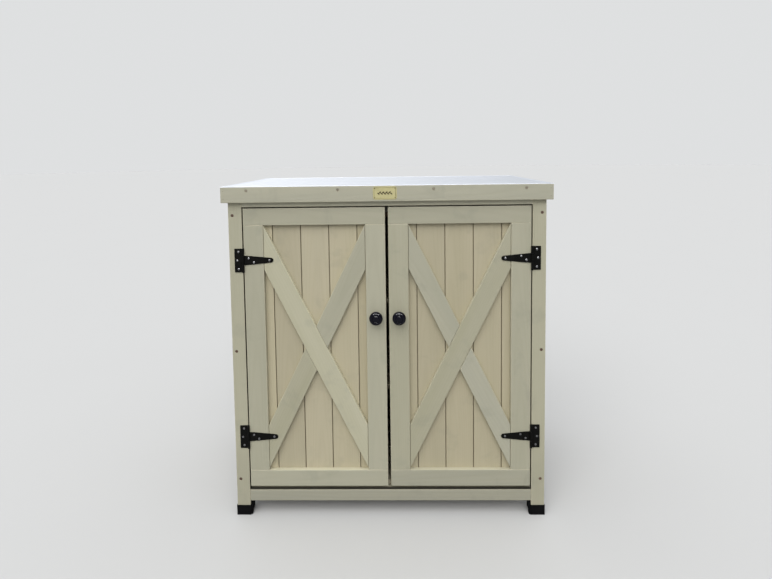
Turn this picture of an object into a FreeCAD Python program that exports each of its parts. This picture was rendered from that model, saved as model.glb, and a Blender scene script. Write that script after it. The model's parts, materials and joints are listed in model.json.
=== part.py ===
import FreeCAD, Part
import math
import os

os.makedirs("parts", exist_ok=True)

# A garden storage cabinet of painted softwood with a metal covered top, two X-braced doors on T-hinges,
# two shelves and plastic feet. Sizes are in millimetres. While modelling, X = 0 is the middle of the
# cabinet, Y = 0 is the front face of the posts and doors with +Y towards the back, and Z = 0 is the ground.
# Each piece is moved along Y as it is saved, so that the origin ends up under the middle of the whole.

# Top
top_width = 870.0
top_depth = 475.0
overall_height = 909.0
sheet_thickness = 1.6
top_panel_thickness = 12.0
fascia_height = 41.0
fascia_thickness = 14.0

# Posts and feet
post_size = 36.0
foot_base = 4.0
foot_height = 28.0
foot_wall = 1.3
foot_inner_wall = 1.3
foot_clearance = 0.2
foot_tab_width = 3.5
foot_tab_depth = 10.0
foot_tab_setback = 0.5

# Front rails and the strip that the doors close against
ground_clearance = 40.0
bottom_rail_height = 31.0
header_reveal = 13.0
stop_strip_thickness = 12.0
stop_strip_reach = 19.5
stop_clearance = 0.5

# Doors
hinge_side_gap = 3.0
meeting_gap = 8.0
door_top_gap = 3.5
door_bottom_gap = 10.8
door_board_thickness = 12.0
door_frame_thickness = 12.0
stile_width = 53.0
door_top_rail_height = 45.5
door_bottom_rail_height = 45.7
brace_width = 53.0
brace_top_gap = 1.0
brace_bottom_gap = 7.0
brace_joint_gap = 0.4
brace_end_gap = 0.8
boards_per_door = 5

# Tongue-and-groove boards
wall_board_thickness = 12.0
board_face_gap = 2.4
board_gap_depth = 4.2
tongue_from_face = 5.0
tongue_thickness = 4.0
tongue_length = 5.0
tongue_clearance = 0.3
boards_per_side = 5
boards_per_back = 10

# Rails on the outside of the side and back walls
wall_rail_height = 45.0
wall_rail_thickness = 20.0
low_rail_rise = 62.0
high_rail_drop = 64.0
middle_rail_drop = 5.0

# Floor and shelves
deck_thickness = 12.0
shelf_setback = 70.0
deck_side_gap = 1.0
deck_board_gap = 4.0
deck_rear_gap = 1.0
boards_per_deck = 5
shelf_count = 2
cleat_thickness = 18.0
cleat_height = 20.0

# Edges of sawn pieces, and how long an edge is, as a share of the longest, to be eased on a brace
edge_ease = 1.5
small_ease = 1.0
long_edge_share = 0.3

# T-hinges
hinge_top_inset = 139.0
hinge_bottom_inset = 141.7
hinge_plate = 1.8
barrel_radius = 3.2
pin_radius = 1.6
pin_clearance = 0.05
pin_head_radius = 2.6
pin_head_height = 1.2
leaf_width = 23.3
leaf_height = 63.8
leaf_corner = 1.5
strap_length = 80.5
strap_root_width = 26.0
strap_shoulder_reach = 30.0
strap_shoulder_width = 21.6
strap_tip_width = 12.6
knuckle_gap = 0.5
leaf_screw_side = 12.7
leaf_screw_middle = 15.9
leaf_screw_spread = 23.4
strap_screw_places = ((14.4, 5.4), (28.4, -5.6), (70.0, 0.0))

# Knobs
knob_rise = 475.2
knob_radius = 18.0
knob_reach = 32.0
knob_crown_depth = 9.0
knob_rim_depth = 4.0
knob_underside_depth = 5.0
knob_crown_steps = 7
neck_radius = 8.0
neck_flare = 2.0
rose_radius = 11.0
rose_thickness = 3.0
rose_edge = 1.0
stud_radius = 2.5
stud_length = 18.0

# Screws
hinge_screw_head = 2.8
hinge_screw_flat = 1.7
hinge_screw_head_height = 1.0
hinge_screw_shank = 1.6
hinge_screw_length = 15.0
frame_screw_head = 4.0
frame_screw_head_depth = 2.4
frame_screw_shank = 2.0
post_screw_length = 60.0
post_screw_inset = 11.0
fascia_screw_length = 32.0
fascia_screw_drop = 9.5
fascia_screw_places = (-367.0, -126.0, 124.0, 365.0)
screw_clearance = 0.1

# Bare plate on the front fascia
plate_width = 62.0
plate_height = 34.0
plate_thickness = 0.8
plate_notch = 3.2
plate_offset = -3.0
plate_rise = 1.5
plate_pin_radius = 0.9
plate_pin_head = 1.5
plate_pin_inset = 4.2
plate_pin_length = 8.0
plate_pin_rise = 0.4

# Magnetic catch and strike plates
catch_width = 62.0
catch_height = 13.0
catch_depth = 20.0
strike_width = 24.0
strike_thickness = 1.2
strike_edge_inset = 4.0
catch_air_gap = 0.3
strike_top_gap = 1.0

# How far a cutting shape runs past the piece it cuts
cut_over = 1.0

# Sizes that follow from those above
top_half = top_width / 2
body_half = top_half - fascia_thickness
body_depth = top_depth - 2 * fascia_thickness
rear_edge = body_depth + fascia_thickness
opening_half = body_half - post_size
post_top = overall_height - sheet_thickness - top_panel_thickness
fascia_top = overall_height - sheet_thickness
fascia_bottom = fascia_top - fascia_height
header_bottom = fascia_bottom - header_reveal
rail_top = ground_clearance + bottom_rail_height
door_top = header_bottom - door_top_gap
door_bottom = rail_top + door_bottom_gap
door_thickness = door_frame_thickness + door_board_thickness
door_outer = opening_half - hinge_side_gap
door_inner = meeting_gap / 2
door_width = door_outer - door_inner
stop_front = door_thickness + stop_clearance
recess_outer = door_outer - stile_width
recess_inner = door_inner + stile_width
recess_top = door_top - door_top_rail_height
recess_bottom = door_bottom + door_bottom_rail_height
wall_face = body_half - wall_rail_thickness
wall_inside = wall_face - wall_board_thickness
back_face = body_depth - wall_rail_thickness
back_inside = back_face - wall_board_thickness
side_span = body_depth - 2 * post_size
rear_post_front = body_depth - post_size
floor_top = rail_top + deck_thickness
stop_bottom = header_bottom - stop_strip_reach
low_rail_middle = ground_clearance + low_rail_rise
high_rail_middle = post_top - high_rail_drop
centre_rail_middle = (low_rail_middle + high_rail_middle) / 2 - middle_rail_drop
wall_rail_middles = (low_rail_middle, centre_rail_middle, high_rail_middle)
pin_x = opening_half - hinge_side_gap / 2
pin_y = -barrel_radius
hinge_heights = {"upper": door_top - hinge_top_inset, "lower": door_bottom + hinge_bottom_inset}
knob_x = door_inner + stile_width / 2
knob_z = door_bottom + knob_rise
y_middle = (body_depth + fascia_thickness - knob_reach) / 2


def box(x0, x1, y0, y1, z0, z1):
    return Part.makeBox(x1 - x0, y1 - y0, z1 - z0, FreeCAD.Vector(x0, y0, z0))


def eased_box(x0, x1, y0, y1, z0, z1, ease=edge_ease):
    """A sawn piece with its edges rounded."""
    plain = box(x0, x1, y0, y1, z0, z1)
    return plain.makeFillet(ease, plain.Edges)


def front_prism(outline, y0, y1):
    """A flat piece with an outline of (x, z) points, from y0 to y1."""
    points = [FreeCAD.Vector(x, y0, z) for x, z in outline]
    face = Part.Face(Part.makePolygon(points + points[:1]))
    return face.extrude(FreeCAD.Vector(0, y1 - y0, 0))


def upright_prism(outline, z0, z1):
    """An upright piece with an outline of (x, y) points, from z0 to z1."""
    points = [FreeCAD.Vector(x, y, z0) for x, y in outline]
    face = Part.Face(Part.makePolygon(points + points[:1]))
    return face.extrude(FreeCAD.Vector(0, 0, z1 - z0))


def rod_along_y(radius, x, z, y0, y1):
    return Part.makeCylinder(radius, y1 - y0, FreeCAD.Vector(x, y0, z), FreeCAD.Vector(0, 1, 0))


def rod_along_z(radius, x, y, z0, z1):
    return Part.makeCylinder(radius, z1 - z0, FreeCAD.Vector(x, y, z0), FreeCAD.Vector(0, 0, 1))


def turned_on_y(profile, x, z):
    """A turned piece from (radius, y) points, on an axis along Y through x and z."""
    points = [FreeCAD.Vector(x + radius, y, z) for radius, y in profile]
    face = Part.Face(Part.makePolygon(points + points[:1]))
    return face.revolve(FreeCAD.Vector(x, 0, z), FreeCAD.Vector(0, 1, 0), 360)


def other_side(shape):
    """The mirror image across the middle of the cabinet."""
    return shape.mirror(FreeCAD.Vector(0, 0, 0), FreeCAD.Vector(1, 0, 0))


def from_behind(shape):
    """The mirror image across the middle of the body's depth."""
    return shape.mirror(FreeCAD.Vector(0, body_depth / 2, 0), FreeCAD.Vector(0, 1, 0))


def without(shape, cutters):
    for cutter in cutters:
        shape = shape.cut(cutter)
    return shape


def save(node, *solids):
    """Writes one sub-part, moved so that the origin is under the middle of the whole."""
    whole = solids[0] if len(solids) == 1 else Part.makeCompound(list(solids))
    moved = whole.copy()
    moved.translate(FreeCAD.Vector(0, -y_middle, 0))
    moved.exportStep("parts/" + node + ".step")


def board_outline(number, count, pitch, thickness):
    """The section of one tongue-and-groove board, as (across, depth) points from its visible face."""
    left = number * pitch
    right = left + pitch
    first = number == 0
    last = number == count - 1
    face_left = left if first else left + board_face_gap / 2
    face_right = right if last else right - board_face_gap / 2
    tongue_back = tongue_from_face + tongue_thickness
    groove_end = left + tongue_length + tongue_clearance
    outline = [(face_left, 0), (face_right, 0)]
    if not last:
        outline += [(face_right, board_gap_depth), (right, board_gap_depth), (right, tongue_from_face)]
        outline += [(right + tongue_length, tongue_from_face), (right + tongue_length, tongue_back)]
        outline += [(right, tongue_back)]
    outline += [(right, thickness), (left, thickness)]
    if not first:
        outline += [(left, tongue_back + tongue_clearance), (groove_end, tongue_back + tongue_clearance)]
        outline += [(groove_end, tongue_from_face - tongue_clearance)]
        outline += [(left, tongue_from_face - tongue_clearance)]
        outline += [(left, board_gap_depth), (face_left, board_gap_depth)]
    return outline


def upright_boards(count, span, thickness, place, z0, z1):
    """A row of tongue-and-groove boards. place turns (across, depth) into (x, y)."""
    boards = []
    for number in range(count):
        outline = board_outline(number, count, span / count, thickness)
        boards.append(upright_prism([place(across, depth) for across, depth in outline], z0, z1))
    return boards


def pan_screw(x, z, seat_y):
    """A hinge screw with a low domed head on the seat, driven towards +Y."""
    crown = seat_y - hinge_screw_head_height
    shoulder = seat_y - hinge_screw_head_height / 2
    tip = seat_y + hinge_screw_length
    profile = [(0, crown), (hinge_screw_flat, crown), (hinge_screw_head, shoulder)]
    profile += [(hinge_screw_head, seat_y), (hinge_screw_shank, seat_y)]
    profile += [(hinge_screw_shank, tip - hinge_screw_shank), (0, tip)]
    return turned_on_y(profile, x, z)


def pan_screw_hole(x, z, seat_y):
    tip = seat_y + hinge_screw_length
    return rod_along_y(hinge_screw_shank + screw_clearance, x, z, seat_y - cut_over, tip + screw_clearance)


def sunk_screw(x, z, face_y, length):
    """A countersunk screw with its head level with the wood, driven towards +Y."""
    neck = face_y + frame_screw_head_depth
    tip = face_y + length
    profile = [(0, face_y), (frame_screw_head, face_y), (frame_screw_shank, neck)]
    profile += [(frame_screw_shank, tip - frame_screw_shank), (0, tip)]
    return turned_on_y(profile, x, z)


def sunk_screw_hole(x, z, face_y, length):
    neck = face_y + frame_screw_head_depth
    tip = face_y + length + screw_clearance
    wide = frame_screw_head + screw_clearance
    narrow = frame_screw_shank + screw_clearance
    profile = [(0, face_y - cut_over), (wide, face_y - cut_over), (wide, face_y), (narrow, neck)]
    profile += [(narrow, tip), (0, tip)]
    return turned_on_y(profile, x, z)


# Screws through the front posts into the ends of the side wall rails, and the same from behind
post_screw_x = body_half - post_screw_inset
left_post_screws = [sunk_screw(-post_screw_x, z, 0, post_screw_length) for z in wall_rail_middles]
left_post_holes = [sunk_screw_hole(-post_screw_x, z, 0, post_screw_length) for z in wall_rail_middles]
fascia_screw_z = fascia_top - fascia_screw_drop
fascia_screws = [
    sunk_screw(x, fascia_screw_z, -fascia_thickness, fascia_screw_length) for x in fascia_screw_places
]
fascia_holes = [
    sunk_screw_hole(x, fascia_screw_z, -fascia_thickness, fascia_screw_length) for x in fascia_screw_places
]
front_post_screws = left_post_screws + [other_side(screw) for screw in left_post_screws]
rear_post_screws = [from_behind(screw) for screw in front_post_screws]
save("frame_screws", *front_post_screws, *rear_post_screws, *fascia_screws)

# Places of the hinge screws, as (x, z) on the left side. The hinges on the right side are the same hinges
# turned upside down, so their strap screws lie the other way up.
upright = 1
turned_over = -1
leaf_screw_places = []
for height in hinge_heights.values():
    leaf_screw_places.append((-pin_x - leaf_screw_side, height + leaf_screw_spread))
    leaf_screw_places.append((-pin_x - leaf_screw_middle, height))
    leaf_screw_places.append((-pin_x - leaf_screw_side, height - leaf_screw_spread))
leaf_holes = [pan_screw_hole(x, z, -hinge_plate) for x, z in leaf_screw_places]
leaf_screws = [pan_screw(x, z, -hinge_plate) for x, z in leaf_screw_places]


def strap_places(way_up):
    places = []
    for height in hinge_heights.values():
        places += [(-pin_x + along, height + way_up * up) for along, up in strap_screw_places]
    return places


def strap_holes(way_up):
    return [pan_screw_hole(x, z, -hinge_plate) for x, z in strap_places(way_up)]


def strap_screws(way_up):
    return [pan_screw(x, z, -hinge_plate) for x, z in strap_places(way_up)]


# Posts
def front_left_post():
    post = eased_box(-body_half, -opening_half, 0, post_size, foot_base, post_top)
    return without(post, left_post_holes + leaf_holes)


def rear_left_post():
    post = eased_box(-body_half, -opening_half, rear_post_front, body_depth, foot_base, post_top)
    return without(post, [from_behind(hole) for hole in left_post_holes])


save("post_front_left", front_left_post())
save("post_front_right", other_side(front_left_post()))
save("post_rear_left", rear_left_post())
save("post_rear_right", other_side(rear_left_post()))


# Feet: a cup round the end of the post, with an upright tab on its inner side
def front_left_foot():
    outer = body_half + foot_wall + foot_clearance
    inner = opening_half - foot_inner_wall - foot_clearance
    front = -foot_wall - foot_clearance
    back = post_size + foot_wall + foot_clearance
    cup = box(-outer, -inner, front, back, 0, foot_height)
    socket_outer = body_half + foot_clearance
    socket_inner = opening_half - foot_clearance
    socket_back = post_size + foot_clearance
    socket_top = foot_height + cut_over
    socket = box(-socket_outer, -socket_inner, -foot_clearance, socket_back, foot_base, socket_top)
    tab_back = foot_tab_setback + foot_tab_depth
    tab = box(-inner, -inner + foot_tab_width, foot_tab_setback, tab_back, 0, ground_clearance)
    return cup.cut(socket).fuse(tab).removeSplitter()


foot = front_left_foot()
save("feet_front", foot, other_side(foot))
save("feet_rear", from_behind(foot), other_side(from_behind(foot)))

# Front rails and door stop
save("front_header_rail", eased_box(-opening_half, opening_half, 0, stop_front, header_bottom, post_top))
save("front_bottom_rail", eased_box(-opening_half, opening_half, 0, post_size, ground_clearance, rail_top))
stop_back = stop_front + stop_strip_thickness
stop_strip = eased_box(-opening_half, opening_half, stop_front, stop_back, stop_bottom, post_top, small_ease)
save("door_stop_strip", stop_strip)


# Side walls: boards between the posts, behind three rails
def left_wall_rails():
    rails = []
    for middle in wall_rail_middles:
        low = middle - wall_rail_height / 2
        high = middle + wall_rail_height / 2
        rail = eased_box(-body_half, -wall_face, post_size, rear_post_front, low, high)
        rear_holes = [from_behind(hole) for hole in left_post_holes]
        rails.append(without(rail, left_post_holes + rear_holes))
    return rails


def left_wall_place(across, depth):
    return -wall_face + depth, post_size + across


def back_wall_place(across, depth):
    return -opening_half + across, back_face - depth


def back_wall_rails():
    rails = []
    for middle in wall_rail_middles:
        low = middle - wall_rail_height / 2
        high = middle + wall_rail_height / 2
        rails.append(eased_box(-opening_half, opening_half, back_face, body_depth, low, high))
    return rails


left_rails = left_wall_rails()
left_boards = upright_boards(
    boards_per_side, side_span, wall_board_thickness, left_wall_place, ground_clearance, post_top
)
back_boards = upright_boards(
    boards_per_back, 2 * opening_half, wall_board_thickness, back_wall_place, ground_clearance, post_top
)
save("left_wall_rails", *left_rails)
save("right_wall_rails", *[other_side(rail) for rail in left_rails])
save("back_wall_rails", *back_wall_rails())
save("left_wall_boards", *left_boards)
save("right_wall_boards", *[other_side(board) for board in left_boards])
save("back_wall_boards", *back_boards)


# Floor and shelves: boards from side to side on cleats
def deck(top, front_edge):
    half = opening_half - deck_side_gap
    depth = back_inside - deck_rear_gap - front_edge
    width = (depth - (boards_per_deck - 1) * deck_board_gap) / boards_per_deck
    boards = []
    for number in range(boards_per_deck):
        front = front_edge + number * (width + deck_board_gap)
        boards.append(eased_box(-half, half, front, front + width, top - deck_thickness, top, small_ease))
    return boards


def cleats_under(top):
    high = top - deck_thickness
    low = high - cleat_height
    inner = wall_inside - cleat_thickness
    left = eased_box(-wall_inside, -inner, post_size, rear_post_front, low, high, small_ease)
    return [left, other_side(left)]


bay_height = (stop_bottom - floor_top) / (shelf_count + 1)
shelf_tops = [floor_top + bay_height * (number + 1) for number in range(shelf_count)]
cleats = cleats_under(floor_top)
for shelf_top in shelf_tops:
    cleats += cleats_under(shelf_top)
save("floor_boards", *deck(floor_top, stop_front))
for name, shelf_top in zip(("lower_shelf", "upper_shelf"), shelf_tops):
    save(name, *deck(shelf_top, shelf_setback))
save("deck_cleats", *cleats)

# Top: panel on the posts, fascia boards round it, metal sheet over all
panel = box(-body_half, body_half, 0, body_depth, post_top, fascia_top)
save("top_panel", without(panel, fascia_holes))
save("top_sheet", box(-top_half, top_half, -fascia_thickness, rear_edge, fascia_top, overall_height))


# The bare plate lies on the front fascia, held by four pins
plate_middle_z = (fascia_top + fascia_bottom) / 2 + plate_rise
pin_across = plate_width / 2 - plate_pin_inset
pin_up = plate_height / 2 - plate_pin_inset
plate_pin_places = []
for across in (-pin_across, pin_across):
    for up in (-pin_up, pin_up):
        plate_pin_places.append((plate_offset + across, plate_middle_z + up))
plate_front = -fascia_thickness - plate_thickness


def plate_pin(x, z):
    crown = plate_front - plate_pin_rise
    tip = plate_front + plate_pin_length
    profile = [(0, crown), (plate_pin_head, crown + plate_pin_rise / 2), (plate_pin_head, plate_front)]
    profile += [(plate_pin_radius, plate_front), (plate_pin_radius, tip), (0, tip)]
    return turned_on_y(profile, x, z)


def plate_pin_hole(x, z):
    tip = plate_front + plate_pin_length + screw_clearance
    return rod_along_y(plate_pin_radius + screw_clearance, x, z, plate_front - cut_over, tip)


def bare_plate():
    left = plate_offset - plate_width / 2
    right = plate_offset + plate_width / 2
    low = plate_middle_z - plate_height / 2
    high = plate_middle_z + plate_height / 2
    plate = box(left, right, plate_front, -fascia_thickness, low, high)
    for x in (left, right):
        for z in (low, high):
            plate = plate.cut(rod_along_y(plate_notch, x, z, plate_front - cut_over, 0))
    return without(plate, [plate_pin_hole(x, z) for x, z in plate_pin_places])


save("bare_plate", bare_plate())
save("plate_pins", *[plate_pin(x, z) for x, z in plate_pin_places])

# Fascia boards
fascia_cuts = fascia_holes + [plate_pin_hole(x, z) for x, z in plate_pin_places]
front_fascia = eased_box(-top_half, top_half, -fascia_thickness, 0, fascia_bottom, fascia_top, small_ease)
rear_fascia = eased_box(-top_half, top_half, body_depth, rear_edge, fascia_bottom, fascia_top, small_ease)
left_fascia = eased_box(-top_half, -body_half, 0, body_depth, fascia_bottom, fascia_top, small_ease)
save("fascia_front", without(front_fascia, fascia_cuts))
save("fascia_rear", rear_fascia)
save("fascia_left", left_fascia)
save("fascia_right", other_side(left_fascia))


# T-hinges, as (distance from the pin, height) on the left side
def pin_bore(height):
    reach = leaf_height / 2 + cut_over
    return rod_along_z(pin_radius + pin_clearance, -pin_x, pin_y, height - reach, height + reach)


def hinge_leaf(height):
    """The fixed leaf on the post, with a knuckle above and below the strap's one."""
    half = leaf_height / 2
    strap_half = strap_root_width / 2
    clear = barrel_radius + knuckle_gap
    plate = box(-pin_x - leaf_width, -pin_x - clear, -hinge_plate, 0, height - half, height + half)
    outer_edges = [edge for edge in plate.Edges if edge.BoundBox.XMax < -pin_x - leaf_width + leaf_corner]
    corners = [edge for edge in outer_edges if edge.BoundBox.YLength > hinge_plate / 2]
    plate = plate.makeFillet(leaf_corner, corners)
    for low, high in ((strap_half, half), (-half, -strap_half)):
        plate = plate.fuse(box(-pin_x - clear, -pin_x, -hinge_plate, 0, height + low, height + high))
        plate = plate.fuse(rod_along_z(barrel_radius, -pin_x, pin_y, height + low, height + high))
    bore = pin_bore(height)
    return without(plate, [bore] + leaf_holes).removeSplitter()


def hinge_strap(height, way_up):
    """The strap on the door, which tapers more beyond its shoulder, with the middle knuckle."""
    root = strap_root_width / 2
    shoulder = strap_shoulder_width / 2
    tip = strap_tip_width / 2
    clear = barrel_radius + knuckle_gap
    shoulder_x = strap_shoulder_reach
    tip_x = strap_length - tip
    slope = (shoulder - tip) / (tip_x - shoulder_x)
    lower = [(clear, -root), (shoulder_x, -shoulder), (tip_x, -tip)]
    outline = lower + [(along, -up) for along, up in reversed(lower)]
    strap = front_prism([(-pin_x + along, height + up) for along, up in outline], -hinge_plate, 0)
    end_radius = tip / math.cos(math.atan(slope))
    strap = strap.fuse(rod_along_y(end_radius, -pin_x + tip_x, height, -hinge_plate, 0))
    half = root - knuckle_gap
    strap = strap.fuse(box(-pin_x, -pin_x + clear, -hinge_plate, 0, height - half, height + half))
    strap = strap.fuse(rod_along_z(barrel_radius, -pin_x, pin_y, height - half, height + half))
    bore = pin_bore(height)
    return without(strap, [bore] + strap_holes(way_up)).removeSplitter()


def hinge_pin(height):
    half = leaf_height / 2
    reach = half + pin_head_height
    pin = rod_along_z(pin_radius, -pin_x, pin_y, height - reach, height + reach)
    for low in (height - reach, height + half):
        pin = pin.fuse(rod_along_z(pin_head_radius, -pin_x, pin_y, low, low + pin_head_height))
    return pin.removeSplitter()


left_pins = [hinge_pin(height) for height in hinge_heights.values()]
save("hinge_pins", *left_pins, *[other_side(pin) for pin in left_pins])
save("leaf_screws", *leaf_screws, *[other_side(screw) for screw in leaf_screws])
for level, height in hinge_heights.items():
    leaf = hinge_leaf(height)
    save("hinge_leaf_" + level + "_left", leaf)
    save("hinge_leaf_" + level + "_right", other_side(leaf))
    save("left_door_hinge_strap_" + level, hinge_strap(height, upright))
    save("right_door_hinge_strap_" + level, other_side(hinge_strap(height, turned_over)))


# Doors. The frame and the braces are planted on the boards. The right door is the mirror image of a left
# one with its hinges turned over.
def brace_band(overrun, grow):
    """The long brace's outline, run on past its ends and widened. It falls towards the meeting stile."""
    span = recess_outer - recess_inner - 2 * brace_end_gap
    rise = recess_top - recess_bottom - brace_top_gap - brace_bottom_gap
    angle = math.acos(brace_width / math.hypot(rise, span)) - math.atan2(span, rise)
    half_cut = (brace_width / 2 + grow) / math.cos(angle)
    left = -recess_outer + brace_end_gap
    middle_left = recess_top - brace_top_gap - brace_width / 2 / math.cos(angle) + overrun * math.tan(angle)
    middle_right = middle_left - (span + 2 * overrun) * math.tan(angle)
    ends = ((left - overrun, middle_left), (left + span + overrun, middle_right))
    return [(x, z + half_cut) for x, z in ends] + [(x, z - half_cut) for x, z in reversed(ends)]


def long_edges_eased(shape, ease):
    longest = max(edge.Length for edge in shape.Edges)
    return shape.makeFillet(ease, [edge for edge in shape.Edges if edge.Length > long_edge_share * longest])


def braces():
    """The long brace and the two halves of the other one, cut where they meet the long one."""
    middle = -(recess_outer + recess_inner) / 2
    outline = brace_band(0, 0)
    crossing = [(2 * middle - x, z) for x, z in outline]
    long_brace = front_prism(outline, 0, door_frame_thickness)
    cut_back = door_frame_thickness + cut_over
    cutter = front_prism(brace_band(stile_width, brace_joint_gap), -cut_over, cut_back)
    halves = front_prism(crossing, 0, door_frame_thickness).cut(cutter).Solids
    halves.sort(key=lambda solid: solid.CenterOfMass.z)
    eased = [long_edges_eased(half, small_ease) for half in halves]
    return long_edges_eased(long_brace, small_ease), eased


def door_place(across, depth):
    return -door_outer + across, door_frame_thickness + depth


def knob():
    """A round knob on a neck and rose, with a stud into the stile. Its crown is a quarter of an ellipse."""
    crown_back = -knob_reach + knob_crown_depth
    rim_back = crown_back + knob_rim_depth
    underside_back = rim_back + knob_underside_depth
    profile = []
    for step in range(knob_crown_steps + 1):
        turn = math.pi / 2 * step / knob_crown_steps
        profile.append((knob_radius * math.sin(turn), crown_back - knob_crown_depth * math.cos(turn)))
    profile += [(knob_radius, rim_back), (neck_radius + neck_flare, underside_back)]
    profile += [(neck_radius, underside_back + neck_flare), (neck_radius, -rose_thickness - neck_flare)]
    profile += [(neck_radius + neck_flare, -rose_thickness), (rose_radius - rose_edge, -rose_thickness)]
    profile += [(rose_radius, -rose_thickness + rose_edge), (rose_radius, 0)]
    profile += [(stud_radius, 0), (stud_radius, stud_length), (0, stud_length)]
    return turned_on_y(profile, -knob_x, knob_z)


def strike_plate():
    left = -door_inner - strike_edge_inset - strike_width
    low = stop_bottom - catch_height
    high = stop_bottom - strike_top_gap
    return box(left, left + strike_width, door_thickness, door_thickness + strike_thickness, low, high)


def left_door(way_up):
    """All pieces of a door as on the left side, by name, with its hinges either way up."""
    stud_end = stud_length + screw_clearance
    stud_hole = rod_along_y(stud_radius + screw_clearance, -knob_x, knob_z, -cut_over, stud_end)
    holes = strap_holes(way_up) + [stud_hole]
    long_brace, short_halves = braces()
    low = recess_bottom
    high = recess_top
    t = door_frame_thickness
    top_rail = eased_box(-door_outer, -door_inner, 0, t, high, door_top)
    bottom_rail = eased_box(-door_outer, -door_inner, 0, t, door_bottom, low)
    hinge_stile = eased_box(-door_outer, -recess_outer, 0, t, low, high)
    meeting_stile = eased_box(-recess_inner, -door_inner, 0, t, low, high)
    thickness = door_board_thickness
    boards = upright_boards(boards_per_door, door_width, thickness, door_place, door_bottom, door_top)
    return {
        "top_rail": [top_rail],
        "bottom_rail": [bottom_rail],
        "hinge_stile": [without(hinge_stile, holes)],
        "meeting_stile": [without(meeting_stile, holes)],
        "long_brace": [without(long_brace, holes)],
        "short_braces": [without(half, holes) for half in short_halves],
        "boards": [without(board, holes) for board in boards],
        "knob": [knob()],
        "strike_plate": [strike_plate()],
        "strap_screws": strap_screws(way_up),
    }


for piece, solids in left_door(upright).items():
    save("left_door_" + piece, *solids)
for piece, solids in left_door(turned_over).items():
    save("right_door_" + piece, *[other_side(solid) for solid in solids])

# Magnetic catch under the stop strip, facing the strike plates
catch_front = door_thickness + strike_thickness + catch_air_gap
catch_back = catch_front + catch_depth
catch_bottom = stop_bottom - catch_height
catch_half = catch_width / 2
catch = eased_box(-catch_half, catch_half, catch_front, catch_back, catch_bottom, stop_bottom, small_ease)
save("magnetic_catch", catch)
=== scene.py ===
import json
import math
import random

import bmesh
import bpy
from bpy.props import FloatProperty, FloatVectorProperty, IntProperty, PointerProperty
from mathutils import Matrix, Vector


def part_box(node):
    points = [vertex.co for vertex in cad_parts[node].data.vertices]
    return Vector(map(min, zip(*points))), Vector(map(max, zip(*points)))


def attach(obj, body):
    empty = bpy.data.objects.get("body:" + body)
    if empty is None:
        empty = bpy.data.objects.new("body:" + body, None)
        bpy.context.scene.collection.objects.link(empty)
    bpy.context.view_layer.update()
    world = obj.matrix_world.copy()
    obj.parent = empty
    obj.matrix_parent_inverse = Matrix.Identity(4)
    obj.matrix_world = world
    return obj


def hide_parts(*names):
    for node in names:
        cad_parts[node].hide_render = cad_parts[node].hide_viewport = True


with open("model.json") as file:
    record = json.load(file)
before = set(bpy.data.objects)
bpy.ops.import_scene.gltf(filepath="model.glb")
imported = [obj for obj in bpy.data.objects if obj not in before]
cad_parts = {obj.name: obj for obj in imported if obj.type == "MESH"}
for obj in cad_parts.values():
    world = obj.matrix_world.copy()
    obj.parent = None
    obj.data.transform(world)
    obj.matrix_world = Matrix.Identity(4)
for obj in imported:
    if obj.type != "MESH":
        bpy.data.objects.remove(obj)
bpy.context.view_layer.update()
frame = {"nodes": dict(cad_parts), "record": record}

bl_info = {
    "name": "Garden storage cabinet",
    "version": (1, 0, 0),
    "blender": (4, 5, 0),
    "location": "3D View > Sidebar > Cabinet",
    "description": "Dresses the cabinet's fixed frame with painted timber, metal top, hinges, knobs and feet",
    "category": "Object",
}

# Which body each node of the frame belongs to
BODIES = frame["record"]["behaviour"]["bodies"]
BODY_OF = {node: body for body, nodes in BODIES.items() for node in nodes}

# The sides with their signs along X, and how many boards each row has
SIDES = {"left": -1.0, "right": 1.0}
BOARDS_PER_DOOR = 5
BOARDS_PER_SIDE = 5
BOARDS_PER_BACK = 10

X_AXIS = Vector((1.0, 0.0, 0.0))
Y_AXIS = Vector((0.0, 1.0, 0.0))
Z_AXIS = Vector((0.0, 0.0, 1.0))

# Vertices closer than MERGE are one. Edges that turn more than EDGE_ANGLE are eased, and those that turn more
# than CRISP_ANGLE are drawn crisp.
MERGE = 1e-6
EDGE_ANGLE = math.radians(25.0)
CRISP_ANGLE = math.radians(38.0)
QUARTER_TURN = math.pi / 2.0
WHOLE_TURN = 2.0 * math.pi

# Where the small softboxes stand, the point that they face, and their width and height
SOFTBOX_PLACES = ((-1.7, -2.6, 3.3), (-0.5, -2.9, 3.9), (0.7, -2.9, 3.7), (1.9, -2.7, 3.0))
SOFTBOX_AIM = Vector((0.0, 0.0, 0.5))
SOFTBOX_SIZE = (0.55, 0.75)

# Where the broad light comes from, the angle that it fills, and the tints of the lights
KEY_DIRECTION = Vector((-0.12, -0.66, 0.70))
KEY_WIDTH = math.radians(60.0)
KEY_TONE = (1.0, 0.985, 0.95)
SKY_TONE = (0.96, 0.98, 1.0, 1.0)

# From side to side the dome's light is multiplied by 1 + DOME_SLANT * x, and the room that gloss mirrors by
# ROOM_MIDDLE + ROOM_SLANT * x, so both are brighter on the left.
DOME_SLANT = -0.12
ROOM_SLANT = -1.9
ROOM_MIDDLE = 1.02

# Tones of dust on wood and on plastic, of the outer posts where they grow darker towards the bottom, of
# painted shade in the gaps between boards and round the doors, and of steel where its coat is worn
WOOD_DUST = (0.40, 0.38, 0.33)
PLASTIC_DUST = (0.32, 0.30, 0.27)
LOW_POST_TONE = (0.16, 0.145, 0.11)
GROOVE_SHADE = (0.075, 0.055, 0.030)
GAP_SHADE = (0.020, 0.018, 0.014)
WORN_STEEL = (0.30, 0.29, 0.28)


def length(name, description, default):
    """A size that a user may change."""
    return FloatProperty(name=name, description=description, default=default, unit="LENGTH", min=0.0)


def plain(name, description, default):
    """A number without a unit that a user may change."""
    return FloatProperty(name=name, description=description, default=default)


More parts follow.
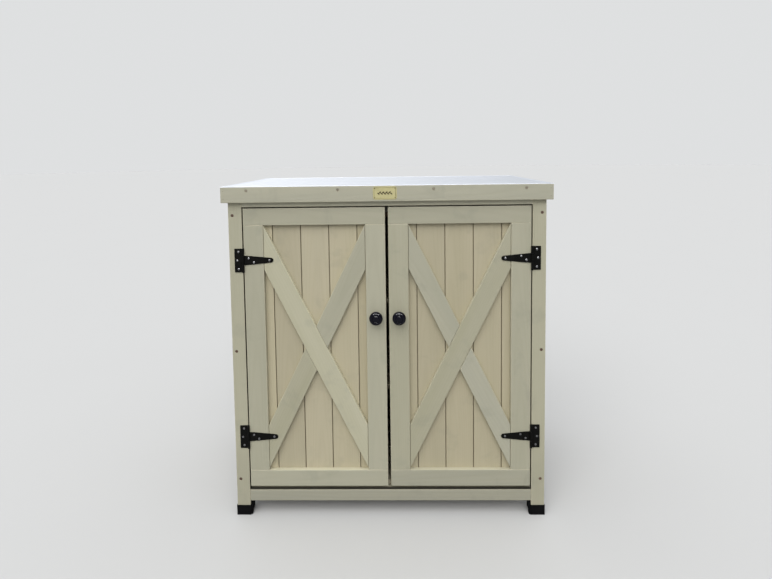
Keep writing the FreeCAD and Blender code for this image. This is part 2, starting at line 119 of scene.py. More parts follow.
def colour(name, description, default):
    """A colour that a user may change."""
    return FloatVectorProperty(
        name=name, description=description, default=default, size=3, subtype="COLOR", min=0.0, max=1.0
    )


class CabinetTimber(bpy.types.PropertyGroup):
    """Sizes of the timber's finish. The boards themselves take their places from the frame."""

    ease: length("Edge ease", "Rounding along the edges of posts, rails and stiles", 0.0011)
    brace_ease: length("Brace ease", "Rounding along the edges of the braces", 0.0016)
    small_ease: length("Small ease", "Rounding along thin boards", 0.0011)
    arris: length("Board arris", "Rounding along the visible edges of tongue-and-groove boards", 0.0009)
    face_gap: length("Board gap", "Gap between the faces of neighbouring boards", 0.0024)
    gap_depth: length("Gap depth", "Depth of the gap between boards, down to the tongue", 0.0042)
    tongue_from_face: length("Tongue place", "Distance from the visible face to the tongue", 0.005)
    tongue_thickness: length("Tongue thickness", "Thickness of a board's tongue", 0.004)
    tongue_length: length("Tongue length", "How far a tongue reaches into the next board", 0.005)
    tongue_clearance: length("Tongue clearance", "Room round a tongue in its groove", 0.0003)
    brace_width: length("Brace width", "Width of a door brace", 0.053)
    brace_gap: length("Brace gap", "Gap where the short braces meet the long one", 0.0004)


class CabinetHardware(bpy.types.PropertyGroup):
    """Sizes of the hinges, screws, knobs, feet and plate."""

    plate: length("Hinge plate", "Thickness of the hinge plates", 0.0018)
    barrel: length("Barrel radius", "Outer radius of the hinge knuckles", 0.0032)
    knuckle_gap: length("Knuckle gap", "Gap between hinge knuckles", 0.0005)
    leaf_corner: length("Leaf corner", "Rounding of the hinge leaf's outer corners", 0.0015)
    strap_root: length("Strap root", "Width of the hinge strap beside its knuckle", 0.026)
    strap_shoulder: length("Strap shoulder", "Width of the hinge strap where its taper steepens", 0.0216)
    shoulder_reach: length("Shoulder reach", "Distance from the pin to the strap's shoulder", 0.030)
    strap_tip: length("Strap tip", "Width of the hinge strap at its rounded tip", 0.0126)
    plate_ease: length("Plate ease", "Rounding along the edges of the hinge plates", 0.0004)
    screw_head: length("Hinge screw head", "Radius of a hinge screw's head", 0.0028)
    head_height: length("Head height", "Height of a hinge screw's head", 0.001)
    screw_shank: length("Hinge screw shank", "Radius of a hinge screw's shank", 0.0016)
    frame_head: length("Frame screw head", "Radius of a frame screw's sunk head", 0.004)
    frame_head_depth: length("Frame screw cone", "Depth of a frame screw's sunk head", 0.0024)
    frame_shank: length("Frame screw shank", "Radius of a frame screw's shank", 0.002)
    hole_rim: length("Screw hole rim", "How much wider a sunk screw's hole is than its head", 0.0005)
    head_sink: length("Head sink", "How far a frame screw's head lies below the wood's face", 0.0005)
    nail_head: length("Nail head", "Radius of the nails at the fascia's ends", 0.0013)
    sheet_hem: length("Sheet hem", "Width of the folded hem round the metal top", 0.011)
    hem_rise: length("Hem rise", "How far the hem stands above the sheet inside it", 0.0004)
    foot_height: length("Foot cup", "Height of the foot's cup", 0.028)
    foot_base: length("Foot base", "Thickness of the foot's base", 0.004)
    foot_wall: length("Foot wall", "Thickness of the foot's wall", 0.0013)
    foot_tab: length("Foot tab", "Thickness of the foot's upright tab", 0.0035)
    tab_depth: length("Tab depth", "Width of the foot's upright tab from front to back", 0.010)
    tab_setback: length("Tab setback", "How far the tab stands behind the post's front", 0.0005)
    foot_ease: length("Foot ease", "Rounding along the moulded edges of a foot", 0.0008)
    catch_ease: length("Catch ease", "Rounding along the edges of the magnetic catch", 0.0012)
    strike_ease: length("Strike ease", "Rounding along the edges of the strike plates", 0.0004)
    plate_notch: length("Plate notch", "Radius of the notched corners of the bare plate", 0.0032)
    line_inset: length("Line inset", "Distance from the plate's edge to its border line", 0.0032)
    line_width: length("Line width", "Width of the border line and of the sprig's stem", 0.0005)
    line_rise: length("Line rise", "How far the line and the sprig stand off the plate", 0.0001)
    stem_length: length("Stem length", "Length of the sprig's stem", 0.035)
    leaf_count: IntProperty(name="Leaves", description="Count of the sprig's leaves", default=9, min=1)
    leaf_pitch: length("Leaf pitch", "Distance along the stem from leaf to leaf", 0.0042)
    leaf_length: length("Leaf length", "Length of a leaf", 0.0072)
    leaf_width: length("Leaf width", "Width of a leaf", 0.0036)
    leaf_offset: length("Leaf offset", "Distance from the stem to a leaf's middle", 0.0017)
    leaf_angle: plain("Leaf angle", "Turn of a leaf against the stem, in degrees", 38.0)


class CabinetColours(bpy.types.PropertyGroup):
    """Colours of the finishes, as light that they send back."""

    frame_paint: colour("Frame paint", "Paint on posts, rails, stiles and braces", (0.42, 0.405, 0.31))
    board_paint: colour("Board paint", "Thinner paint on the boards behind the frames", (0.455, 0.410, 0.291))
    bare_pine: colour("Bare pine", "Wood that shows where the paint is thin", (0.47, 0.37, 0.23))
    knot: colour("Knot", "Knots that show through the paint", (0.27, 0.22, 0.15))
    zinc: colour("Zinc", "The metal sheet on the top", (0.60, 0.63, 0.685))
    black_steel: colour("Black steel", "Powder coat on the hinges", (0.004, 0.004, 0.0035))
    bright_steel: colour("Bright steel", "Plated hinge screws", (0.34, 0.34, 0.35))
    bronzed_steel: colour("Bronzed steel", "Screws in posts and fascia", (0.17, 0.105, 0.078))
    brass: colour("Brass", "The bare plate on the fascia", (0.62, 0.57, 0.298))
    darkened_brass: colour("Darkened brass", "The border and the sprig on the plate", (0.085, 0.068, 0.018))
    knob_black: colour("Knob black", "Gloss black of the knobs", (0.004, 0.004, 0.008))
    foot_black: colour("Foot black", "Moulded plastic of the feet", (0.004, 0.004, 0.0045))
    catch_brown: colour("Catch brown", "Moulded plastic of the magnetic catch", (0.045, 0.028, 0.018))
    floor: colour("Floor", "Plain pale floor as it is seen", (0.56, 0.56, 0.56))
    floor_bounce: colour("Floor bounce", "Plain floor as it lights what stands on it", (0.30, 0.30, 0.30))


class CabinetStage(bpy.types.PropertyGroup):
    """The floor, the lights and the camera."""

    focal_pixels: plain("Focal length", "Focal length, counted in the picture's pixels", 492.07)
    picture_width: plain("Picture width", "Width of the picture in pixels", 772.0)
    camera_place: FloatVectorProperty(
        name="Camera place", description="Where the camera stands", size=3, subtype="TRANSLATION",
        default=(0.0232, -1.5070, 0.9879),
    )
    turn: plain("Turn", "Camera's turn to the left, in degrees", 1.029)
    dip: plain("Dip", "Camera's dip below the level, in degrees", 3.728)
    lean: plain("Lean", "Camera's lean to the left, in degrees", -0.739)
    slide: plain("Slide", "Lens shift downwards, in picture widths", 0.1331)
    floor_radius: length("Floor radius", "Radius of the round floor", 40.0)
    sky_light: plain("Sky light", "Strength of the dome's light at the horizon", 0.27)
    zenith_light: plain("Zenith light", "Strength of the dome's light overhead", 1.28)
    key_light: plain("Key light", "Strength of the broad light from the front", 1.80)
    softbox_light: plain("Softboxes", "Power of each of the small lights in front", 80.0)
    backdrop: colour("Backdrop", "Colour of what is seen behind", (0.735, 0.745, 0.75))
    mirrored: plain("Mirrored room", "Brightness in gloss of the room in front", 0.05)
    mirrored_back: plain("Mirrored back", "Brightness in gloss of the room above and behind", 0.95)


# How a piece or each of its boards took the paint: from warm, 0, to cool, 1, and how light it came out.
# Some lightnesses are painted light and shade: the header rail is painted lighter in the fascia's shade, the
# door top rails are painted darker as the fascia's shadow, the front bottom rail is painted darker as shade
# near the ground, and several boards partly so. The other pieces vary by chance.
PAINT_AND_SHADE_OF = {
    "fascia_front": (0.75, 1.0),
    "front_header_rail": (0.6, 1.13),
    "front_bottom_rail": (0.95, 0.82),
    "post_front_left": (0.30, 1.02),
    "post_front_right": (0.2, 1.03),
    "left_door_top_rail": (0.45, 0.96),
    "right_door_top_rail": (0.45, 0.94),
    "left_door_hinge_stile": (0.5, 0.98),
    "right_door_hinge_stile": (0.45, 0.98),
    "left_door_meeting_stile": (0.55, 1.04),
    "right_door_meeting_stile": (0.25, 0.98),
    "left_door_bottom_rail": (0.6, 1.02),
    "right_door_bottom_rail": (0.7, 0.91),
    "left_door_long_brace": (0.1, 1.15),
    "right_door_long_brace": (0.0, 0.95),
    "left_door_boards": ((0.3, 1.08), (0.5, 0.96), (0.6, 1.05), (0.4, 1.05), (0.0, 0.95)),
    "right_door_boards": ((0.4, 0.97), (0.4, 0.95), (0.3, 0.97), (0.4, 0.99), (0.3, 0.98)),
}


def timber():
    return bpy.context.scene.cabinet_timber


def hardware():
    return bpy.context.scene.cabinet_hardware


def colours():
    return bpy.context.scene.cabinet_colours


def stage_settings():
    return bpy.context.scene.cabinet_stage


# Shader helpers
def put(tree, kind, inputs=None, **settings):
    """Adds a node. An input given as a socket is linked, and any other is set."""
    made = tree.nodes.new(kind)
    for name, value in settings.items():
        setattr(made, name, value)
    for name, value in (inputs or {}).items():
        if isinstance(value, bpy.types.NodeSocket):
            tree.links.new(value, made.inputs[name])
        else:
            made.inputs[name].default_value = value
    return made


def sums(tree, operation, first, second=None, third=None, clamp=False):
    """One step of reckoning with numbers."""
    inputs = {0: first}
    if second is not None:
        inputs[1] = second
    if third is not None:
        inputs[2] = third
    return put(tree, "ShaderNodeMath", inputs, operation=operation, use_clamp=clamp).outputs[0]


def vector_sums(tree, operation, first, second=None):
    """One step of reckoning with vectors or colours."""
    inputs = {0: first} if second is None else {0: first, 1: second}
    return put(tree, "ShaderNodeVectorMath", inputs, operation=operation).outputs[0]


def spread(tree, value, low, high, new_low=0.0, new_high=1.0):
    """Stretches a value from low..high to new_low..new_high, and holds it there."""
    inputs = {"Value": value, "From Min": low, "From Max": high, "To Min": new_low, "To Max": new_high}
    return put(tree, "ShaderNodeMapRange", inputs, clamp=True).outputs["Result"]


def smooth_step(tree, value, low, high, new_low=0.0, new_high=1.0):
    """Does the same with a soft start and end."""
    inputs = {"Value": value, "From Min": low, "From Max": high, "To Min": new_low, "To Max": new_high}
    made = put(tree, "ShaderNodeMapRange", inputs, interpolation_type="SMOOTHSTEP")
    return made.outputs["Result"]


def blended(tree, share, first, second):
    """Mixes two colours."""
    made = put(tree, "ShaderNodeMix", data_type="RGBA")
    for index, value in ((0, share), (6, first), (7, second)):
        if isinstance(value, bpy.types.NodeSocket):
            tree.links.new(value, made.inputs[index])
        elif index == 0:
            made.inputs[index].default_value = value
        else:
            made.inputs[index].default_value = tuple(value)[:3] + (1.0,)
    return made.outputs[2]


def tinted(tone, *scale):
    """A colour times one number, or times one each for its red, green and blue."""
    scale = scale * 3 if len(scale) == 1 else scale
    return tuple(min(1.0, c * s) for c, s in zip(tone, scale))


def split(tree, vector):
    """The X, Y and Z outputs of a vector."""
    return put(tree, "ShaderNodeSeparateXYZ", {"Vector": vector}).outputs


def noise(tree, place, scale, detail=2.0, roughness=0.5, distortion=0.0):
    """Clouds of noise, from 0 to 1."""
    inputs = {
        "Vector": place, "Scale": scale, "Detail": detail, "Roughness": roughness, "Distortion": distortion,
    }
    return put(tree, "ShaderNodeTexNoise", inputs).outputs["Fac"]


def random_parts(tree, cells):
    """The three chance values, from 0 to 1, that each cell of a cell pattern has."""
    return put(tree, "ShaderNodeSeparateColor", {"Color": cells.outputs["Color"]}).outputs


def new_group(name, inputs, outputs):
    """A shader node group. Inputs are (name, kind, default) and outputs are (name, kind)."""
    tree = bpy.data.node_groups.new(name, "ShaderNodeTree")
    for label, kind, default in inputs:
        socket = tree.interface.new_socket(label, in_out="INPUT", socket_type="NodeSocket" + kind)
        if default is not None:
            socket.default_value = default
    for label, kind in outputs:
        tree.interface.new_socket(label, in_out="OUTPUT", socket_type="NodeSocket" + kind)
    return tree, tree.nodes.new("NodeGroupInput"), tree.nodes.new("NodeGroupOutput")


def use_group(tree, name, inputs):
    """Adds one of the shared effects and gives back its outputs."""
    return put(tree, "ShaderNodeGroup", inputs, node_tree=bpy.data.node_groups[name]).outputs


def marks_on(tree, space, speck=0.0006, smudge=0.02):
    """Specks and smudges of the given sizes."""
    return use_group(tree, "Specks and smudges", {"Place": space, "Speck size": speck, "Smudge size": smudge})


def stretched(tree, place, scales):
    """A place scaled by its own number in each direction."""
    return vector_sums(tree, "MULTIPLY", place, scales)


# Shared effects
def make_grain_group():
    """Pine grain along a board: growth rings, fine fibres, broad clouds and a few knots."""
    tree, given, result = new_group(
        "Pine grain",
        [("Place", "Vector", None), ("Board", "Float", 0.5), ("Ring spacing", "Float", 0.0055)],
        [("Rings", "Float"), ("Fibres", "Float"), ("Clouds", "Float"), ("Knots", "Float")],
    )
    board = given.outputs["Board"]
    shift = put(tree, "ShaderNodeCombineXYZ", {
        "X": sums(tree, "MULTIPLY", board, 17.3),
        "Y": sums(tree, "MULTIPLY", board, 9.1),
        "Z": sums(tree, "MULTIPLY", board, 5.7),
    }).outputs[0]
    place = given.outputs["Place"]
    moved = vector_sums(tree, "ADD", place, shift)

    # Knots are round spots in a few of the cells of a coarse cell pattern
    cells = put(tree, "ShaderNodeTexVoronoi", {"Vector": moved, "Scale": 6.5, "Randomness": 1.0})
    chosen = sums(tree, "GREATER_THAN", random_parts(tree, cells)[0], 0.74)
    away = cells.outputs["Distance"]
    near_knot = sums(tree, "MULTIPLY", smooth_step(tree, away, 0.0, 0.24, 1.0, 0.0), chosen)
    knots = sums(tree, "MULTIPLY", smooth_step(tree, away, 0.02, 0.055, 1.0, 0.0), chosen)

    # Rings round a pith that lies behind the board and wanders along it
    x, y, z = split(tree, place)
    wander = noise(tree, stretched(tree, moved, (1.6, 3.0, 3.0)), 1.0, 2.0)
    wander = sums(tree, "SUBTRACT", wander, 0.5)
    pith = sums(tree, "MULTIPLY", sums(tree, "SUBTRACT", board, 0.5), 0.09)
    across = sums(tree, "SUBTRACT", y, pith)
    across = sums(tree, "ADD", across, sums(tree, "MULTIPLY", wander, 0.05))
    behind = sums(tree, "ADD", z, sums(tree, "MULTIPLY_ADD", board, 0.03, 0.02))
    along = sums(tree, "MULTIPLY", x, 0.035)
    behind = sums(tree, "ADD", behind, along)
    reach = sums(tree, "SQRT", sums(
        tree, "ADD", sums(tree, "MULTIPLY", across, across), sums(tree, "MULTIPLY", behind, behind)
    ))
    reach = sums(tree, "ADD", reach, sums(tree, "MULTIPLY", near_knot, 0.008))
    waves = sums(tree, "SINE", sums(
        tree, "MULTIPLY", sums(tree, "DIVIDE", reach, given.outputs["Ring spacing"]), WHOLE_TURN
    ))
    rings = sums(tree, "POWER", sums(tree, "MULTIPLY_ADD", waves, 0.5, 0.5), 2.4)

    fibres = noise(tree, stretched(tree, moved, (7.0, 420.0, 420.0)), 1.0, 3.0, 0.6)
    clouds = noise(tree, stretched(tree, moved, (2.2, 22.0, 22.0)), 1.0, 2.0, 0.55)
    for label, socket in (("Rings", rings), ("Fibres", fibres), ("Clouds", clouds), ("Knots", knots)):
        tree.links.new(socket, result.inputs[label])


def make_edge_group():
    """Where a point lies near an edge of its board, from its place and the board's half sizes."""
    tree, given, result = new_group(
        "Board edges",
        [("Place", "Vector", None), ("Half", "Vector", None), ("Width", "Float", 0.002)],
        [("Edge", "Float")],
    )
    place = given.outputs["Place"]
    inside = vector_sums(tree, "SUBTRACT", given.outputs["Half"], vector_sums(tree, "ABSOLUTE", place))
    x, y, z = split(tree, inside)
    least = sums(tree, "MINIMUM", sums(tree, "MINIMUM", x, y), z)
    most = sums(tree, "MAXIMUM", sums(tree, "MAXIMUM", x, y), z)
    total = sums(tree, "ADD", sums(tree, "ADD", x, y), z)
    middle = sums(tree, "SUBTRACT", sums(tree, "SUBTRACT", total, least), most)
    uneven = sums(tree, "MULTIPLY_ADD", noise(tree, place, 60.0, 3.0), 2.4, -0.35)
    width = sums(tree, "MULTIPLY", given.outputs["Width"], uneven)
    width = sums(tree, "MAXIMUM", width, 0.00005)
    edge = sums(tree, "SUBTRACT", 1.0, sums(tree, "DIVIDE", middle, width), clamp=True)
    tree.links.new(edge, result.inputs["Edge"])


def make_dust_group():
    """Pale dust that splashes up from the ground and gathers in clouds."""
    tree, given, result = new_group(
        "Ground dust",
        [("Place", "Vector", None), ("Reach", "Float", 0.22)],
        [("Dust", "Float")],
    )
    height = split(tree, given.outputs["Place"])["Z"]
    falling = sums(tree, "SUBTRACT", 1.0, sums(tree, "DIVIDE", height, given.outputs["Reach"]), clamp=True)
    falling = sums(tree, "POWER", falling, 1.8)
    patches = spread(tree, noise(tree, given.outputs["Place"], 24.0, 4.0, 0.6), 0.35, 0.75, 0.25, 1.0)
    tree.links.new(sums(tree, "MULTIPLY", falling, patches), result.inputs["Dust"])


def make_speck_group():
    """Fine specks and soft smudges for metal and moulded plastic."""
    tree, given, result = new_group(
        "Specks and smudges",
        [("Place", "Vector", None), ("Speck size", "Float", 0.0006), ("Smudge size", "Float", 0.02)],
        [("Specks", "Float"), ("Smudges", "Float")],
    )
    place = given.outputs["Place"]
    specks = noise(tree, place, sums(tree, "DIVIDE", 1.0, given.outputs["Speck size"]), 2.0, 0.6)
    smudges = noise(tree, place, sums(tree, "DIVIDE", 1.0, given.outputs["Smudge size"]), 4.0, 0.6, 0.4)
    tree.links.new(specks, result.inputs["Specks"])
    tree.links.new(spread(tree, smudges, 0.3, 0.7), result.inputs["Smudges"])


def make_gap_group():
    """How far a place lies in the narrow gaps round the doors, which are painted dark as painted shade."""
    tree, given, result = new_group("Painted gap shade", [("Place", "Vector", None)], [("Shade amount", "Float")])
    parts = split(tree, given.outputs["Place"])
    aside = sums(tree, "ABSOLUTE", parts["X"])
    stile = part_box("left_door_hinge_stile")[0]
    front = stile.y
    post_edge = -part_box("post_front_left")[1].x
    meeting_edge = -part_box("left_door_meeting_stile")[1].x
    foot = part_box("front_bottom_rail")[1].z
    door_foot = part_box("left_door_bottom_rail")[0].z
    door_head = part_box("left_door_top_rail")[1].z
    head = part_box("front_header_rail")[0].z
    strip_low, strip_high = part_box("door_stop_strip")
    slack = 0.0004

    def between(value, low, high):
        above = sums(tree, "GREATER_THAN", value, low - slack)
        return sums(tree, "MULTIPLY", above, sums(tree, "LESS_THAN", value, high + slack))

    # The gap beside the right door's hinges gets less painted shade than the others
    found = between(aside, -stile.x, post_edge)
    found = sums(tree, "MULTIPLY", found, smooth_step(tree, parts["X"], 0.1, 0.2, 1.0, 0.7))
    for value, low, high in (
        (aside, -meeting_edge, meeting_edge), (parts["Z"], foot, door_foot), (parts["Z"], door_head, head),
    ):
        found = sums(tree, "MAXIMUM", found, between(value, low, high))

    # It starts just behind the doors' front, and ends well inside the gap
    deep = smooth_step(tree, parts["Y"], front + 0.0004, front + 0.0020)
    deep = sums(tree, "MULTIPLY", deep, smooth_step(tree, parts["Y"], front + 0.009, front + 0.015, 1.0, 0.0))
    opening = sums(tree, "MULTIPLY", between(aside, -post_edge, post_edge), between(parts["Z"], foot, head))
    gap_shade = sums(tree, "MULTIPLY", sums(tree, "MULTIPLY", found, deep), opening)

    # A little painted shade also falls on the stop strip, behind the gap between the doors
    strip_shade = smooth_step(tree, aside, 0.003, 0.0065, 0.82, 0.0)
    strip_shade = sums(tree, "MULTIPLY", strip_shade, between(parts["Y"], strip_low.y, strip_high.y))
    strip_shade = sums(tree, "MULTIPLY", strip_shade, between(parts["Z"], strip_low.z, strip_high.z))
    tree.links.new(sums(tree, "MAXIMUM", gap_shade, strip_shade), result.inputs["Shade amount"])


def make_effects():
    """Builds the shared effects once."""
    if "Pine grain" not in bpy.data.node_groups:
        make_grain_group()
        make_edge_group()
        make_dust_group()
        make_speck_group()
        make_gap_group()


# Finishes
def start_material(name):
    """A new material with its shader in place: the material, its tree and the shader."""
    made = bpy.data.materials.new(name)
    made.use_nodes = True
    made.node_tree.nodes.clear()
    tree = made.node_tree
    out = tree.nodes.new("ShaderNodeOutputMaterial")
    shader = tree.nodes.new("ShaderNodeBsdfPrincipled")
    tree.links.new(shader.outputs["BSDF"], out.inputs["Surface"])
    return made, tree, shader


def feed(tree, shader, **sockets):
    """Links or sets inputs of the shader, with underscores for the spaces in their names."""
    for name, value in sockets.items():
        socket = shader.inputs[name.replace("_", " ")]
        if isinstance(value, bpy.types.NodeSocket):
            tree.links.new(value, socket)
        else:
            socket.default_value = value


def bump(tree, height, distance, strength, normal=None):
    """Normals bent by a height, over those given."""
    inputs = {"Height": height, "Distance": distance, "Strength": strength}
    if normal is not None:
        inputs["Normal"] = normal
    return put(tree, "ShaderNodeBump", inputs).outputs["Normal"]


def read(tree, attribute):
    """The output of a mesh attribute: a vector, or one number."""
    made = put(tree, "ShaderNodeAttribute", attribute_name=attribute, attribute_type="GEOMETRY")
    return made.outputs["Fac"] if attribute in ("board", "shade") else made.outputs["Vector"]


def painted_wood(name, paint, coat, painted_top_light=0.0, groove_shade=0.0):
    """Satin paint on pine, thin enough for the grain to show as strongly as the coat says.
    The fourth argument says how much paler the paint is where it faces up, as a painted highlight from above,
    and the fifth how dark the gaps between boards are, as painted shade.
    """
    made, tree, shader = start_material(name)
    place = read(tree, "grain")
    board = read(tree, "board")
    shade = read(tree, "shade")
    half = read(tree, "half")
    coordinates = put(tree, "ShaderNodeTexCoord").outputs
    space = coordinates["Object"]
    grain = use_group(tree, "Pine grain", {"Place": place, "Board": board})
    edge = use_group(tree, "Board edges", {"Place": place, "Half": half, "Width": coat["edge_width"]})["Edge"]
    dust = use_group(tree, "Ground dust", {"Place": space})["Dust"]
    gap_shade = use_group(tree, "Painted gap shade", {"Place": space})["Shade amount"]
    marks = marks_on(tree, space, smudge=0.10)
    fibres = spread(tree, grain["Fibres"], 0.3, 0.72)

    # The wood through the paint
    deep = tinted(paint, 0.80, 0.79, 0.72)
    pale = tinted(paint, 1.12, 1.11, 1.10)
    bright = tinted(paint, 1.28, 1.26, 1.22)
    tone = blended(tree, board, tinted(paint, 1.01, 1.0, 0.92), tinted(paint, 0.98, 1.0, 1.06))
    tone = blended(tree, spread(tree, grain["Clouds"], 0.32, 0.70, 0.0, 0.55), tone, pale)
    tone = blended(tree, sums(tree, "MULTIPLY", grain["Rings"], coat["rings"]), tone, deep)
    tone = blended(tree, sums(tree, "MULTIPLY", fibres, coat["fibres"]), tone, deep)
    tone = blended(tree, sums(tree, "MULTIPLY", grain["Knots"], coat["knots"]), tone, colours().knot)

    # Smudges, edges paler partly from wear and partly as a painted highlight, a painted highlight on faces
    # that look up, and how light the board came out, which is partly painted light and shade
    smudged = smooth_step(tree, marks["Smudges"], 0.62, 0.95, 0.0, 0.30)
    tone = blended(tree, smudged, tone, tinted(paint, 0.74, 0.76, 0.78))
    tone = blended(tree, sums(tree, "MULTIPLY", edge, 0.75), tone, bright)
    if painted_top_light:
        rise = split(tree, coordinates["Normal"])["Z"]
        tone = blended(tree, smooth_step(tree, rise, 0.12, 0.42, 0.0, painted_top_light), tone, bright)
    worn = sums(tree, "MULTIPLY", sums(tree, "POWER", edge, 3.0), 0.35)
    tone = blended(tree, worn, tone, colours().bare_pine)
    even = put(tree, "ShaderNodeCombineXYZ", {"X": shade, "Y": shade, "Z": shade}).outputs[0]
    tone = vector_sums(tree, "MULTIPLY", tone, even)

    # Dust, painted shade in the gaps between boards, the outer posts darker towards the bottom, and painted
    # shade in the gaps round the doors
    tone = blended(tree, sums(tree, "MULTIPLY", dust, 0.12), tone, WOOD_DUST)
    if groove_shade:
        aside = sums(tree, "ABSOLUTE", split(tree, place)["Y"])
        past_face = sums(tree, "SUBTRACT", aside, split(tree, half)["Y"])
        tone = blended(tree, smooth_step(tree, past_face, -0.0003, 0.0001, 0.0, groove_shade), tone, GROOVE_SHADE)
    if painted_top_light:
        parts = split(tree, space)
        aside = sums(tree, "ABSOLUTE", parts["X"])
        door_edge = -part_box("left_door_hinge_stile")[0].x
        post_edge = -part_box("post_front_left")[1].x
        outer = smooth_step(tree, aside, door_edge, post_edge)
        darker_low = sums(tree, "MULTIPLY", outer, smooth_step(tree, parts["Z"], 0.12, 0.24, 0.13, 0.0))
        tone = blended(tree, darker_low, tone, LOW_POST_TONE)
    tone = blended(tree, sums(tree, "MULTIPLY", gap_shade, 0.93), tone, GAP_SHADE)

    sheen = sums(tree, "MULTIPLY_ADD", grain["Clouds"], 0.14, coat["roughness"] - 0.07)
    sheen = sums(tree, "MULTIPLY_ADD", dust, 0.12, sheen)
    brushed = noise(tree, stretched(tree, place, (60.0, 900.0, 900.0)), 1.0, 2.0)
    height = sums(tree, "MULTIPLY_ADD", fibres, 0.5, sums(tree, "MULTIPLY", grain["Rings"], -0.55))
    height = sums(tree, "MULTIPLY_ADD", brushed, 0.18, height)
    height = sums(tree, "MULTIPLY_ADD", grain["Knots"], -0.8, height)
    waves = noise(tree, stretched(tree, place, (9.0, 40.0, 40.0)), 1.0, 1.0)
    normal = bump(tree, waves, 0.0006, 0.6)
    normal = bump(tree, height, 0.00022, 0.75, normal)
    feed(tree, shader, Base_Color=tone, Roughness=sheen, Normal=normal)
    feed(tree, shader, Specular_IOR_Level=0.45)
    return made


def zinc_sheet_finish():
    """Galvanised sheet with its pale spangle, a few rolling streaks and a slight wave."""
    made, tree, shader = start_material("Galvanised sheet")
    space = put(tree, "ShaderNodeTexCoord").outputs["Object"]
    shift = put(tree, "ShaderNodeTexNoise", {"Vector": space, "Scale": 45.0, "Detail": 2.0}).outputs["Color"]
    bent = vector_sums(tree, "ADD", space, shift)
    flakes = put(tree, "ShaderNodeTexVoronoi", {"Vector": space, "Scale": 85.0, "Randomness": 1.0})
    flake = random_parts(tree, flakes)[0]
    fine = put(tree, "ShaderNodeTexVoronoi", {"Vector": bent, "Scale": 210.0, "Randomness": 1.0})
    fleck = random_parts(tree, fine)[1]
    streaks = noise(tree, stretched(tree, space, (3.0, 130.0, 1.0)), 1.0, 3.0, 0.6)
    zinc = tuple(colours().zinc)
    tone = blended(tree, spread(tree, flake, 0.0, 1.0, 0.0, 0.5), zinc, tinted(zinc, 0.90))
    tone = blended(tree, spread(tree, fleck, 0.4, 1.0, 0.0, 0.3), tone, tinted(zinc, 0.94))
    tone = blended(tree, spread(tree, streaks, 0.45, 0.75, 0.0, 0.3), tone, tinted(zinc, 1.06))
    rough = sums(tree, "MULTIPLY_ADD", flake, 0.10, 0.34)
    rough = sums(tree, "MULTIPLY_ADD", marks_on(tree, space, smudge=0.11)["Smudges"], 0.12, rough)
    normal = bump(tree, noise(tree, space, 4.5, 1.0), 0.004, 0.35)
    normal = bump(tree, flake, 0.00004, 0.5, normal)
    feed(tree, shader, Base_Color=tone, Roughness=rough, Normal=normal)
    feed(tree, shader, Metallic=0.45, Specular_IOR_Level=0.5)
    return made


def coated_steel(name, tone, roughness, speck, worn):
    """Black powder coat with a fine orange peel, duller patches and specks of bare metal."""
    made, tree, shader = start_material(name)
    space = put(tree, "ShaderNodeTexCoord").outputs["Object"]
    marks = marks_on(tree, space, speck)
    faded = tuple(c * 1.8 + 0.001 for c in tone)
    shown = blended(tree, sums(tree, "MULTIPLY", marks["Smudges"], 0.5), tone, faded)
    shown = blended(tree, spread(tree, marks["Specks"], 0.68, 0.74, 0.0, worn), shown, WORN_STEEL)
    rough = sums(tree, "MULTIPLY_ADD", marks["Smudges"], 0.16, roughness)
    normal = bump(tree, marks["Specks"], 0.00010, 0.55)
    feed(tree, shader, Base_Color=shown, Roughness=rough, Normal=normal)
    feed(tree, shader, Specular_IOR_Level=0.07)
    return made


def bare_metal(name, tone, roughness, metallic=1.0, brushed=False):
    """Bare or plated metal with fine scratches, and brushing along X where asked for."""
    made, tree, shader = start_material(name)
    space = put(tree, "ShaderNodeTexCoord").outputs["Object"]
    marks = marks_on(tree, space, 0.0004, 0.006)
    dull = tinted(tone, 0.62)
    shown = blended(tree, sums(tree, "MULTIPLY", marks["Smudges"], 0.5), tone, dull)
    rough = sums(tree, "MULTIPLY_ADD", marks["Smudges"], 0.2, roughness)
    height = marks["Specks"]
    if brushed:
        height = noise(tree, stretched(tree, space, (40.0, 1.0, 2600.0)), 1.0, 3.0, 0.7)
        shown = blended(tree, spread(tree, height, 0.35, 0.7, 0.0, 0.35), shown, dull)
    normal = bump(tree, height, 0.00005, 0.5)
    feed(tree, shader, Base_Color=shown, Roughness=rough, Normal=normal)
    feed(tree, shader, Metallic=metallic)
    return made


def bronzed_steel():
    """Copper brown screw heads, with thin paint left on those in the fascia."""
    made, tree, shader = start_material("Bronzed steel")
    space = put(tree, "ShaderNodeTexCoord").outputs["Object"]
    marks = marks_on(tree, space, 0.0005, 0.004)
    tone = tuple(colours().bronzed_steel)
    shown = blended(tree, marks["Smudges"], tone, tinted(tone, 0.7))
    in_fascia = sums(tree, "GREATER_THAN", split(tree, space)["Z"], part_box("fascia_front")[0].z)
    shown = blended(tree, sums(tree, "MULTIPLY", in_fascia, 0.58), shown, colours().frame_paint)
    rough = sums(tree, "MULTIPLY_ADD", marks["Smudges"], 0.15, 0.42)
    normal = bump(tree, marks["Specks"], 0.00004, 0.4)
    feed(tree, shader, Base_Color=shown, Roughness=rough, Normal=normal)
    feed(tree, shader, Metallic=0.15)
    return made


